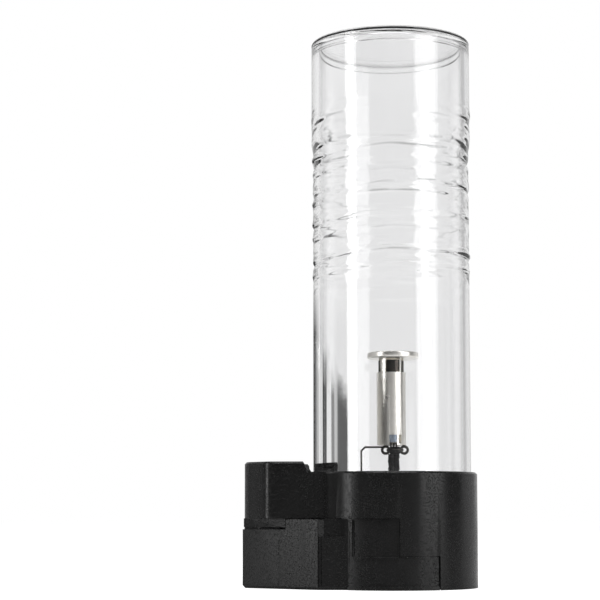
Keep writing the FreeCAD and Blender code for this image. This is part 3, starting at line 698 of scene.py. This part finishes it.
@dataclass
class Envelope(Assembly):
    """The fused glass envelope: tube, rippled seal, window and re-entrant stem in one piece.

    Each ring that the rollers left round the seal has a height, a rise and a width.
    """

    tube_r: float = 25.0
    wall: float = 2.0
    sleeve_step: float = 0.5
    foot_z: float = 14.0
    seal_z: float = 92.0
    step_z: float = 142.2
    step_run: float = 4.0
    sleeve_z: float = 156.0
    window_z: float = 172.8
    top_z: float = 174.6
    rim: float = 0.45
    rim_steps: int = 6
    fillet: float = 0.6
    fillet_steps: int = 5
    line_z: float = 171.0
    line: float = 0.32
    line_half: float = 0.42
    line_steps: int = 8
    groove: float = 0.2
    groove_z: float = 173.6
    groove_half: float = 0.4
    groove_steps: int = 6
    flat_row: float = 0.12
    steps: int = 168
    row: float = 0.28
    plain_rows: tuple[float, ...] = (14.0, 30.0, 50.0, 70.0, 85.0)
    last_row: float = 164.0
    low_fade: float = 5.0
    high_fade: float = 6.0
    sway: float = 1.6
    ring_rise: float = 1.5
    tool_rise: float = 0.22
    fine_rise: float = 0.07
    inner_share: float = 0.35
    most_in: float = 0.4
    most_r: float = 25.8
    exhaust: Point = (6.4, 2.6)
    exhaust_tip: float = 17.0
    exhaust_crown: float = 32.6
    exhaust_r: float = 2.6
    exhaust_bore: float = 1.5
    exhaust_sides: int = 40
    rings: tuple[Spot, ...] = (
        (149.8, 0.20, 1.0), (146.4, -0.16, 1.1), (137.0, 0.22, 0.8),
        (133.9, -0.26, 1.0), (132.0, 0.20, 0.8), (126.4, 0.26, 0.8),
        (124.5, -0.18, 0.8), (122.6, 0.16, 0.8), (116.2, 0.24, 1.0),
        (114.4, -0.18, 0.8), (111.3, 0.16, 0.8), (104.2, 0.26, 0.8),
        (102.6, -0.16, 0.8), (99.2, 0.20, 0.8), (95.0, -0.16, 1.0))

    def ridge(self, z: float, turn: float, share: float) -> float:
        """How far the worked glass stands out of round.

        Args:
            z: Height in millimetres.
            turn: Angle round the axis.
            share: How much of the rings this wall takes.

        Returns:
            The change of radius in millimetres.
        """
        fade = min(1.0, max(0.0, (z - self.seal_z) / self.low_fade))
        fade *= min(1.0, max(0.0, (self.sleeve_z - z) / self.high_fade))
        if fade == 0.0:
            return 0.0
        sway = self.sway * wander(turn, 1.3, 0.7)
        swell = 0.0
        for ring_z, rise, width in self.rings:
            away = (z + sway - ring_z) / width
            if abs(away) < 3.0:
                part = max(0.0, 0.6 + 1.5 * wander(turn, 1.4, ring_z))
                swell += rise * part * math.exp(-away * away)
        stroke = wander(turn, 1.7, z * 0.34)
        fine = wander(turn, 3.2, z * 0.8)
        return fade * (share * self.ring_rise * swell + self.tool_rise * stroke * abs(stroke) * 2.0
                       + self.fine_rise * fine)

    def heights(self) -> list[float]:
        """The heights of the wall's rows, close together in the worked length.

        Returns:
            The heights, from the foot up.
        """
        count = int((self.sleeve_z - self.seal_z) / self.row)
        worked = [self.seal_z + step * self.row for step in range(count)]
        return [*self.plain_rows, *worked, self.sleeve_z, self.last_row]

    def outer_r(self, z: float) -> float:
        """The outer radius at a height, with the step under the window sleeve."""
        rise = min(1.0, max(0.0, (z - self.step_z + self.step_run) / self.step_run))
        return self.tube_r + self.sleeve_step * rise * rise * (3.0 - 2.0 * rise)

    def worked(self, mesh: Mesh, share: float) -> None:
        """Moves the wall's vertices by the ridges.

        Args:
            mesh: The turned wall.
            share: How much of the rings this wall takes.
        """
        low = self.tube_r - self.wall - self.most_in
        for vert in mesh.verts:
            r = math.hypot(vert.co.x, vert.co.y) / MM
            if r < low or not self.seal_z < vert.co.z / MM < self.sleeve_z:
                continue
            turn = math.atan2(vert.co.y, vert.co.x)
            new_r = min(self.most_r, r + self.ridge(vert.co.z / MM, turn, share))
            vert.co.x, vert.co.y = new_r * MM * math.cos(turn), new_r * MM * math.sin(turn)

    def exhaust_tube(self) -> Mesh:
        """The tipped-off exhaust tube under the stem, with its bore.

        Returns:
            The tube in metres.
        """
        tip, crown = self.exhaust_tip, self.exhaust_crown
        out_r, bore_r = self.exhaust_r, self.exhaust_bore
        outside = [(0.0, tip), (0.7, tip + 0.15), (out_r - 0.4, tip + 1.2), (out_r, tip + 1.8),
                   (out_r, crown), (0.0, crown)]
        bore = [(0.0, tip + 2.6), (bore_r - 0.5, tip + 2.9), (bore_r, tip + 3.8),
                (bore_r, crown - 0.4), (0.0, crown - 0.4)]
        hollow = turned(bore, steps=self.exhaust_sides)
        bmesh.ops.reverse_faces(hollow, faces=hollow.faces)
        both = joined(turned(outside, steps=self.exhaust_sides), hollow)
        bmesh.ops.translate(both, verts=both.verts, vec=Vector((*self.exhaust, 0.0)) * MM)
        return both

    def air_side(self) -> Mesh:
        """The outer surface: under the stem, up the wall and over the rim.

        Returns:
            The surface in metres.
        """
        skirt = self.tube_r - self.wall - 2.0
        sleeve_r = self.tube_r + self.sleeve_step
        stem = [(0.0, 33.0), (4.6, 33.0), (6.6, 32.7), (8.6, 31.9), (10.4, 30.7), (11.5, 29.4),
                (11.5, 27.0), (11.9, 25.0), (skirt, 15.6), (skirt + 0.2, 14.4),
                (skirt + 0.7, self.foot_z)]
        wall = [(self.outer_r(z), z) for z in self.heights()]
        groove = [(sleeve_r, self.groove_z - self.groove_half - self.flat_row)]
        groove += round_line(sleeve_r, self.groove_z, self.groove, self.groove_half,
                             self.groove_steps)
        rim = round_corner(sleeve_r, self.top_z, self.rim, self.rim_steps)
        rim += [(sleeve_r - self.rim - self.flat_row, self.top_z), (0.0, self.top_z)]
        surface = turned(stem + wall + groove + rim, steps=self.steps)
        self.worked(surface, 1.0)
        return surface

    def vacuum_side(self) -> Mesh:
        """The inner surface: over the stem, up the bore and under the window.

        Returns:
            The surface in metres, facing inwards.
        """
        in_r = self.tube_r - self.wall
        stem = [(0.0, 34.5), (5.0, 34.5), (7.4, 34.2), (9.5, 33.2), (11.6, 31.7), (13.0, 30.0),
                (13.0, 26.8), (13.4, 25.6), (in_r - 0.8, 17.0), (in_r - 0.2, 17.0), (in_r, 18.0)]
        bore = [(in_r, z) for z in self.heights()[1:]]
        line = [(in_r, self.line_z - self.line_half - self.flat_row)]
        line += round_line(in_r, self.line_z, self.line, self.line_half, self.line_steps)
        line.append((in_r, self.line_z + self.line_half + self.flat_row))
        window = round_corner(in_r, self.window_z, self.fillet, self.fillet_steps)
        window += [(in_r - self.fillet - self.flat_row, self.window_z), (0.0, self.window_z)]
        surface = turned(stem + bore + line + window, steps=self.steps)
        self.worked(surface, self.inner_share)
        bmesh.ops.reverse_faces(surface, faces=surface.faces)
        return surface

    def build(self) -> None:
        """Builds the envelope."""
        glass = joined(self.air_side(), self.vacuum_side(), self.exhaust_tube())
        bmesh.ops.translate(glass, verts=glass.verts, vec=(middle("end_window").x * MM, 0.0, 0.0))
        self.shelf.place("lamp_glass", glass, Slot.GLASS, (
            "glass_tube", "graded_seal", "window_sleeve", "end_window", "glass_stem"))


@dataclass
class Base(Assembly):
    """The black base: upper housing, lower connector moulding, inner cup and bonding cement."""

    edge: float = 0.3
    lower_edge: float = 0.18
    fine_edge: float = 0.12
    seam_low: float = 18.1
    seam_high: float = 19.2
    seam_in: float = 0.6
    seam_wall: float = 1.2
    foot_end: float = -36.95
    foot_end_half: float = 7.6
    shroud_corner: float = -24.95
    shroud_half: float = 14.9
    cove: tuple[Point, ...] = ((30.2, 36.1), (31.28, 36.74), (31.82, 37.86))
    cove_end: float = 32.0
    post_z: float = 37.3
    post_merge: float = 0.06
    floor_z: float = 8.0
    detail_low: float = 0.6
    detail_high: float = 0.2
    collar: Point = (0.55, 1.0)
    collar_spot: Spot = (-21.6, -0.8, 0.0)
    rib: Spot = (2.4, 3.2, 0.8)
    rib_spot: Point = (-22.6, 3.2)
    rib_wall: float = 0.4

    def trim_posts(self, mesh: Mesh) -> None:
        """Brings the tops of the two screw posts flush with the cove that they reach through.

        Args:
            mesh: The housing's merged copy.
        """
        axis_x = middle("end_window").x
        tops = []
        for vert in mesh.verts:
            x, y, z = vert.co / MM
            r = math.hypot(x - axis_x, y)
            if x < 0.0 and self.cove[0][0] < r < self.cove_end and abs(z - self.post_z) < 0.01:
                low, high = self.cove[1:] if r > self.cove[1][0] else self.cove[:2]
                share = (r - low[0]) / (high[0] - low[0])
                vert.co.z = (low[1] + share * (high[1] - low[1])) * MM
                tops.append(vert)
        near = {other for vert in tops for edge in vert.link_edges for other in edge.verts}
        bmesh.ops.remove_doubles(mesh, verts=list(near), dist=self.post_merge * MM)

    def floor_details(self) -> None:
        """The small collar and the square rib that stand on the shroud's floor."""
        foot, top = self.floor_z - self.detail_low, self.floor_z + self.detail_high
        bore, rim = self.collar
        collar = turned([(bore, foot), (rim, foot), (rim, top), (bore, top)], closed=True, steps=40,
                        centre=self.collar_spot)
        rib = bmesh.new()
        bmesh.ops.create_cube(rib, size=1.0)
        bmesh.ops.scale(rib, verts=rib.verts, vec=self.rib)
        ends = [face for face in rib.faces if abs(face.normal.z) > 0.5]
        inset = bmesh.ops.inset_region(rib, faces=ends, thickness=self.rib_wall, use_even_offset=True)
        ends = [face for face in rib.faces if abs(face.normal.z) > 0.5 and face not in inset["faces"]]
        bmesh.ops.bridge_loops(rib, edges=[edge for face in ends for edge in face.edges])
        bmesh.ops.delete(rib, geom=ends, context="FACES_ONLY")
        bmesh.ops.translate(rib, verts=rib.verts, vec=(*self.rib_spot, (foot + top) / 2))
        bmesh.ops.scale(rib, verts=rib.verts, vec=(MM, MM, MM))
        piece = self.shelf.place("shroud_floor_ribs", tidy(joined(collar, rib)), Slot.CONNECTOR)
        soften(piece, 0.08)

    def seam_collar(self) -> None:
        """The collar that closes the seam between the two mouldings, just behind their faces."""
        mesh = bmesh.new()
        end, half = self.foot_end + self.seam_in, self.foot_end_half - self.seam_in * 0.4
        back, wide = self.shroud_corner, self.shroud_half - self.seam_in
        route = [(back, -wide), (end, -half), (end, half), (back, wide)]
        spots = [mesh.verts.new((x * MM, y * MM, self.seam_low * MM)) for x, y in route]
        edges = [mesh.edges.new(pair) for pair in zip(spots, spots[1:])]
        raised = bmesh.ops.extrude_edge_only(mesh, edges=edges)
        top = [item for item in raised["geom"] if isinstance(item, bmesh.types.BMVert)]
        bmesh.ops.translate(mesh, verts=top, vec=(0.0, 0.0, (self.seam_high - self.seam_low) * MM))
        bmesh.ops.recalc_face_normals(mesh, faces=mesh.faces)
        if min(mesh.faces, key=lambda face: face.calc_center_median().x).normal.x > 0.0:
            bmesh.ops.reverse_faces(mesh, faces=mesh.faces)
        bmesh.ops.solidify(mesh, geom=mesh.faces[:], thickness=self.seam_wall * MM)
        bmesh.ops.recalc_face_normals(mesh, faces=mesh.faces)
        for edge in mesh.edges:
            edge.smooth = False
        self.shelf.place("seam_collar", mesh, Slot.HOUSING)

    def build(self) -> None:
        """Builds the base."""
        self.shelf.copy("housing_moulding", "base_housing", Slot.HOUSING, self.edge, 3,
                        self.trim_posts)
        self.shelf.copy("connector_moulding", "connector_base", Slot.CONNECTOR, self.lower_edge)
        self.shelf.copy("terminal_cup_moulding", "terminal_cup", Slot.CUP, self.fine_edge)
        self.shelf.copy("bonding_cement", "bond_ring", Slot.BOND, self.fine_edge)
        self.seam_collar()
        self.floor_details()


@dataclass(frozen=True)
class PinKind:
    """The sizes of one kind of collared pin."""

    slot: Slot
    radius: float
    collar_r: float
    collar_z: float


@dataclass
class Pins(Assembly):
    """The collared pins: five lamp terminals and four connector contacts."""

    tip: float = 0.5
    tip_steps: int = 6
    collar: float = 0.8
    sides: int = 40
    edge: float = 0.1

    def pin(self, node: str, kind: PinKind) -> None:
        """Turns one collared pin with a domed tip.

        Args:
            node: The CAD pin it stands for.
            kind: Its finish and its sizes.
        """
        foot, head = foot_and_head(node)
        radius, collar_z = kind.radius, kind.collar_z
        dome = [(radius * math.sin(a), foot + self.tip * (1.0 - math.cos(a)))
                for a in (math.pi / 2 * step / self.tip_steps for step in range(self.tip_steps + 1))]
        collar = [(radius, collar_z), (kind.collar_r, collar_z),
                  (kind.collar_r, collar_z + self.collar), (radius, collar_z + self.collar)]
        spot = middle(node)
        shape = turned(dome + collar + [(radius, head), (0.0, head)], steps=self.sides,
                       centre=(spot.x, spot.y, 0.0))
        soften(self.shelf.place(node + "_turned", shape, kind.slot, (node,)), self.edge)

    def build(self) -> None:
        """Builds all nine pins."""
        terminal = PinKind(Slot.TERMINAL, 0.9, 1.4, foot_and_head("connector_board")[0])
        for number in range(1, 6):
            self.pin(f"terminal_pin_{number}", terminal)
        contact = PinKind(Slot.CONTACT, 0.8, 1.5, 7.2)
        for number in range(1, 5):
            self.pin(f"contact_pin_{number}", contact)


@dataclass
class Electrodes(Assembly):
    """The hollow cathode, its shields and the anode disc, with their leads."""

    disc_r: float = 8.2
    disc_bore: float = 2.6
    disc_edge: float = 0.45
    disc_edge_steps: int = 4
    disc_sides: int = 128
    loop_r: float = 1.1
    loop_sides: int = 48
    bead_r: float = 1.9
    wire_r: float = 0.44
    reach: float = 2.95
    sleeve_r: float = 0.75
    sleeve_bore: float = 0.32
    sleeve_sides: int = 28
    braid_row: float = 0.3
    braid_grow: float = 1.12
    plait: float = 0.08
    tuft: float = 0.5
    tuft_turn: float = 1.6
    tuft_run: float = 1.3
    strands: float = 4.0
    lay: float = 2.6
    own_shift: float = 3.7

    def disc(self) -> None:
        """The bright disc with its rounded rim and its bore."""
        z0, z1 = foot_and_head("anode_disc")
        spot = middle("anode_disc")
        crown = round_corner(self.disc_r, z1, self.disc_edge, self.disc_edge_steps)
        under = [(r, z0 + z1 - z) for r, z in reversed(crown)]
        profile = [(self.disc_bore, z0)] + under + crown + [(self.disc_bore, z1)]
        shape = turned(profile, closed=True, steps=self.disc_sides, centre=(spot.x, spot.y, 0.0))
        piece = self.shelf.place("anode_disc_turned", shape, Slot.NICKEL, ("anode_disc",))
        soften(piece, 0.12, sharp=50.0)

    def clip(self) -> None:
        """The wire clip: a collar round the bead and a loop at each side."""
        parts = [hoop(self.bead_r + self.wire_r, self.wire_r)]
        for side in (-1.0, 1.0):
            loop = hoop(self.loop_r, self.wire_r, steps=self.loop_sides)
            bmesh.ops.rotate(loop, verts=loop.verts, cent=ORIGIN,
                             matrix=Matrix.Rotation(math.pi / 2, 3, "X"))
            bmesh.ops.translate(loop, verts=loop.verts, vec=(side * self.reach * MM, 0.0, 0.0))
            parts.append(loop)
        clip = joined(*parts)
        bmesh.ops.translate(clip, verts=clip.verts, vec=middle("spring_clip") * MM)
        self.shelf.place("spring_clip_bent", clip, Slot.LEAD, ("spring_clip",))

    def braid(self, node: str, shift: float) -> None:
        """One black braided sleeve, uneven and frayed.

        Args:
            node: The CAD sleeve it stands for.
            shift: Makes each sleeve's unevenness its own.
        """
        z0, z1 = foot_and_head(node)
        spot = middle(node)
        rows = int((z1 - z0) / self.braid_row)
        profile = [(self.sleeve_r, z0 + (z1 - z0) * row / rows) for row in range(rows + 1)]
        sleeve = turned([(self.sleeve_bore, z0)] + profile + [(self.sleeve_bore, z1)], closed=True,
                        steps=self.sleeve_sides)
        for vert in sleeve.verts:
            x, y, z = vert.co / MM
            if math.hypot(x, y) < self.sleeve_r - 0.1:
                continue
            turn = math.atan2(y, x)
            plait = (math.sin(self.strands * turn + z * self.lay)
                     * math.sin(self.strands * turn - z * self.lay))
            tuft = wander(turn, self.tuft_turn, z * self.tuft_run, shift)
            grow = self.braid_grow + self.plait * plait + self.tuft * tuft
            vert.co.x, vert.co.y = x * grow * MM, y * grow * MM
        bmesh.ops.translate(sleeve, verts=sleeve.verts, vec=(spot.x * MM, spot.y * MM, 0.0))
        self.shelf.place(node + "_braided", sleeve, Slot.SLEEVE, (node,))

    def build(self) -> None:
        """Builds the electrode assembly."""
        self.disc()
        for node, slot, edge in (
                ("disc_washer", Slot.CERAMIC, 0.08), ("cathode_cup", Slot.CATHODE, 0.15),
                ("insulator_sleeve", Slot.CERAMIC, 0.1), ("shield_sleeve", Slot.NICKEL, 0.08),
                ("getter_strip", Slot.GETTER, 0.04), ("lead_bead", Slot.SLEEVE, 0.3)):
            self.shelf.copy(node + "_finished", node, slot, edge)
        self.clip()
        for number in range(1, 4):
            self.braid(f"lead_sleeve_{number}", number * self.own_shift)
        for node in ("anode_lead", "support_lead_left", "support_lead_right", "cathode_lead"):
            self.shelf.dress(node, Slot.LEAD)


@dataclass
class Wiring(Assembly):
    """The board, the chip and the wires hidden in the nose."""

    board_edge: float = 0.1
    chip_edge: float = 0.15

    def build(self) -> None:
        """Dresses the hidden parts."""
        self.shelf.copy("board_laminate", "connector_board", Slot.BOARD, self.board_edge, 1)
        self.shelf.copy("chip_package", "memory_chip", Slot.CHIP, self.chip_edge)
        for number in range(1, 5):
            self.shelf.dress(f"hookup_wire_{number}", Slot.WIRE)


# Studio

@dataclass(frozen=True)
class Softbox:
    """One large soft light that faces the lamp.

    Its bearing is in degrees from the camera's side to the right, its height is that of its
    middle, and its level is how bright its face is, where 1 is white.
    """

    name: str
    bearing: float
    distance: float
    size: Point
    height: float
    level: float


@dataclass
class Studio:
    """The pale floor, the soft lights and the camera.

    The rooms are the walls that gloss sees, as pairs of bearing and brightness all round, from the
    camera's side to the right. Level rays see the low room, and the others the high room. The
    storey between them, the roof, and for glass the haze and the dusk, each give two values and
    the two heights of a ray, as the sine of its angle, between which they change.
    """

    axis_x: float = 10.05
    camera_spot: Spot = (10.05, -585.0, 22.96)
    yaw: float = 2.866
    pitch: float = 5.554
    roll: float = 0.016
    lens: float = 110.04
    sensor: float = 36.0
    shift: float = 0.06
    aim_z: float = 90.0
    floor_reach: float = 4000.0
    floor_z: float = -0.05
    ambient: float = 0.35
    floor_paint: float = 0.5
    floor_glow: float = 0.83
    floor_shares: tuple[tuple[str, float], ...] = (
        ("Is Camera Ray", 1.0), ("Is Transmission Ray", 0.75), ("Is Glossy Ray", 0.2))
    storey: tuple[float, ...] = (0.0, 1.0, 0.098, 0.126)
    roof: tuple[float, ...] = (1.0, 0.15, 0.42, 0.85)
    haze: tuple[float, ...] = (1.0, 0.7, 0.28, 0.4)
    dusk: tuple[float, ...] = (1.0, 0.1, 0.4, 0.56)
    low_room: tuple[Point, ...] = (
        (-180.0, 0.7), (-173.0, 0.05), (-156.0, 0.05), (-153.0, 0.5), (-145.0, 0.45), (-143.0, 0.95),
        (-130.0, 0.95), (-128.0, 0.02), (-118.0, 0.02), (-116.0, 1.0), (-106.0, 1.0), (-104.0, 0.25),
        (-99.0, 0.25), (-97.0, 0.7), (-93.0, 0.65), (-90.0, 0.14), (-72.0, 0.14), (-62.0, 0.4))
    high_room: tuple[Point, ...] = (
        (-180.0, 0.7), (-150.0, 0.9), (-130.0, 0.95), (-127.0, 0.4), (-118.0, 0.4), (-114.0, 1.0),
        (-100.0, 0.8), (-92.0, 0.9), (-72.0, 0.8))
    both_rooms: tuple[Point, ...] = (
        (-50.0, 0.06), (-12.0, 0.05), (0.0, 0.25), (30.0, 0.4), (72.0, 0.85), (80.0, 0.15),
        (104.0, 0.15), (112.0, 0.95), (126.0, 0.95), (130.0, 0.55), (146.0, 0.55), (152.0, 0.95),
        (180.0, 0.7))
    softboxes: tuple[Softbox, ...] = (
        Softbox("left softbox", -60.5, 800.0, (200.0, 1100.0), 300.0, 5.5),
        Softbox("right softbox", 54.0, 800.0, (500.0, 1100.0), 300.0, 2.8),
        Softbox("high right softbox", 44.0, 760.0, (420.0, 420.0), 900.0, 2.4),
        Softbox("top softbox", 180.0, 700.0, (900.0, 400.0), 1000.0, 2.0),
        Softbox("overhead softbox", 0.0, 150.0, (700.0, 500.0), 1100.0, 3.0))

    def room(self, tree: Tree, turn: Socket, walls: tuple[Point, ...]) -> Socket:
        """The brightness of the walls all round.

        Args:
            tree: The world's node tree.
            turn: The bearing, from 0 to 1 for a full turn.
            walls: Pairs of bearing and brightness.

        Returns:
            The brightness at the bearing.
        """
        ramp = tree.node("ValToRGB", Fac=turn)
        stops = ramp.color_ramp.elements
        for stop, (bearing, level) in zip(stops, (walls[0], walls[-1])):
            stop.position = bearing / 360.0 + 0.5
            stop.color = (level, level, level, 1.0)
        for bearing, level in walls[1:-1]:
            stops.new(bearing / 360.0 + 0.5).color = (level, level, level, 1.0)
        return ramp.outputs["Color"]

    def world(self) -> None:
        """A white background, pale and dark walls for gloss, and plain light for the rest."""
        sky = bpy.data.worlds.new("studio")
        bpy.context.scene.world = sky
        sky.use_nodes = True
        tree = Tree(sky.node_tree)
        light = tree.nodes["Background"]
        light.inputs["Color"].default_value = (1.0, 1.0, 1.0, 1.0)
        x, y, z = tree.apart(tree.node("TexCoord").outputs["Generated"])
        turn = tree.maths("ARCTAN2", x, tree.maths("MULTIPLY", y, -1.0))
        turn = tree.spread(turn, 0.0, 1.0, -math.pi, math.pi)
        low, high = (self.room(tree, turn, walls + self.both_rooms)
                     for walls in (self.low_room, self.high_room))
        glossy = tree.maths("MULTIPLY", tree.mixed(tree.spread(z, *self.storey), low, high),
                            tree.spread(z, *self.roof))
        through = tree.maths("MULTIPLY", tree.spread(z, *self.haze), tree.spread(z, *self.dusk))
        path = tree.node("LightPath").outputs
        bounced = tree.maths("MULTIPLY", tree.maths("MINIMUM", path["Glossy Depth"], 1.0),
                             tree.maths("SUBTRACT", 1.0, path["Is Diffuse Ray"]))
        level = tree.mixed(path["Is Transmission Ray"], self.ambient, through)
        level = tree.mixed(bounced, level, glossy)
        level = tree.mixed(path["Is Camera Ray"], level, 1.0)
        tree.join(level, light.inputs["Strength"])

    def floor(self) -> None:
        """A pale floor that stays white in the picture and keeps the shadow."""
        mesh = bmesh.new()
        bmesh.ops.create_grid(mesh, x_segments=1, y_segments=1, size=self.floor_reach * MM,
                              matrix=Matrix.Translation((0.0, 0.0, self.floor_z * MM)))
        data = bpy.data.meshes.new("floor")
        mesh.to_mesh(data)
        mesh.free()
        floor = bpy.data.objects.new("floor", data)
        bpy.context.scene.collection.objects.link(floor)
        material = bpy.data.materials.new("pale floor")
        material.use_nodes = True
        tree = Tree(material.node_tree)
        tree.nodes.clear()
        path = tree.node("LightPath").outputs
        most: Source = 0.0
        for key, share in self.floor_shares:
            most = tree.maths("MAXIMUM", most, tree.maths("MULTIPLY", path[key], share))
        paint = tree.node("BsdfDiffuse", Color=(self.floor_paint,) * 3 + (1.0,))
        glow = tree.node("Emission", Color=(self.floor_glow,) * 3 + (1.0,), Strength=most)
        both = tree.node("AddShader")
        tree.join(paint.outputs["BSDF"], both.inputs[0])
        tree.join(glow.outputs["Emission"], both.inputs[1])
        tree.node("OutputMaterial", Surface=both.outputs["Shader"])
        data.materials.append(material)

    def hang(self, box: Softbox) -> None:
        """Hangs one softbox.

        Args:
            box: The light's place, size and level.
        """
        light = bpy.data.lights.new(box.name, "AREA")
        light.shape = "RECTANGLE"
        light.size, light.size_y = box.size[0] * MM, box.size[1] * MM
        light.energy = box.level * math.pi * light.size * light.size_y
        holder = bpy.data.objects.new(box.name, light)
        turn = math.radians(box.bearing)
        spot = Vector((self.axis_x + box.distance * math.sin(turn), -box.distance * math.cos(turn),
                       box.height)) * MM
        aim = Vector((self.axis_x, 0.0, min(box.height, self.aim_z))) * MM - spot
        holder.location = spot
        holder.rotation_euler = aim.to_track_quat("-Z", "Y").to_euler()
        bpy.context.scene.collection.objects.link(holder)

    def camera(self) -> None:
        """The camera at the photograph's viewing angle."""
        lens = bpy.data.cameras.new("camera")
        lens.lens = self.lens
        lens.sensor_width = self.sensor
        lens.shift_y = self.shift
        lens.clip_start, lens.clip_end = 0.05, 50.0
        holder = bpy.data.objects.new("camera", lens)
        turn = (Matrix.Rotation(math.radians(self.yaw), 4, "Z")
                @ Matrix.Rotation(math.radians(90.0 + self.pitch), 4, "X")
                @ Matrix.Rotation(math.radians(-self.roll), 4, "Z"))
        holder.matrix_world = Matrix.Translation(Vector(self.camera_spot) * MM) @ turn
        bpy.context.scene.collection.objects.link(holder)
        bpy.context.scene.camera = holder

    def build(self) -> None:
        """Sets up the whole studio."""
        bpy.context.scene.view_settings.view_transform = "Standard"
        self.world()
        self.floor()
        for box in self.softboxes:
            self.hang(box)
        self.camera()


def main() -> None:
    """Builds the studio and every sub-assembly."""
    logging.basicConfig(level=logging.INFO, format="%(name)s: %(message)s")
    Studio().build()
    shelf = Shelf()
    for assembly in (Envelope, Base, Pins, Electrodes, Wiring):
        assembly(shelf).build()
    bpy.context.view_layer.update()
    LOG.info("%d new pieces", shelf.count)


if __name__ == "__main__":
    main()
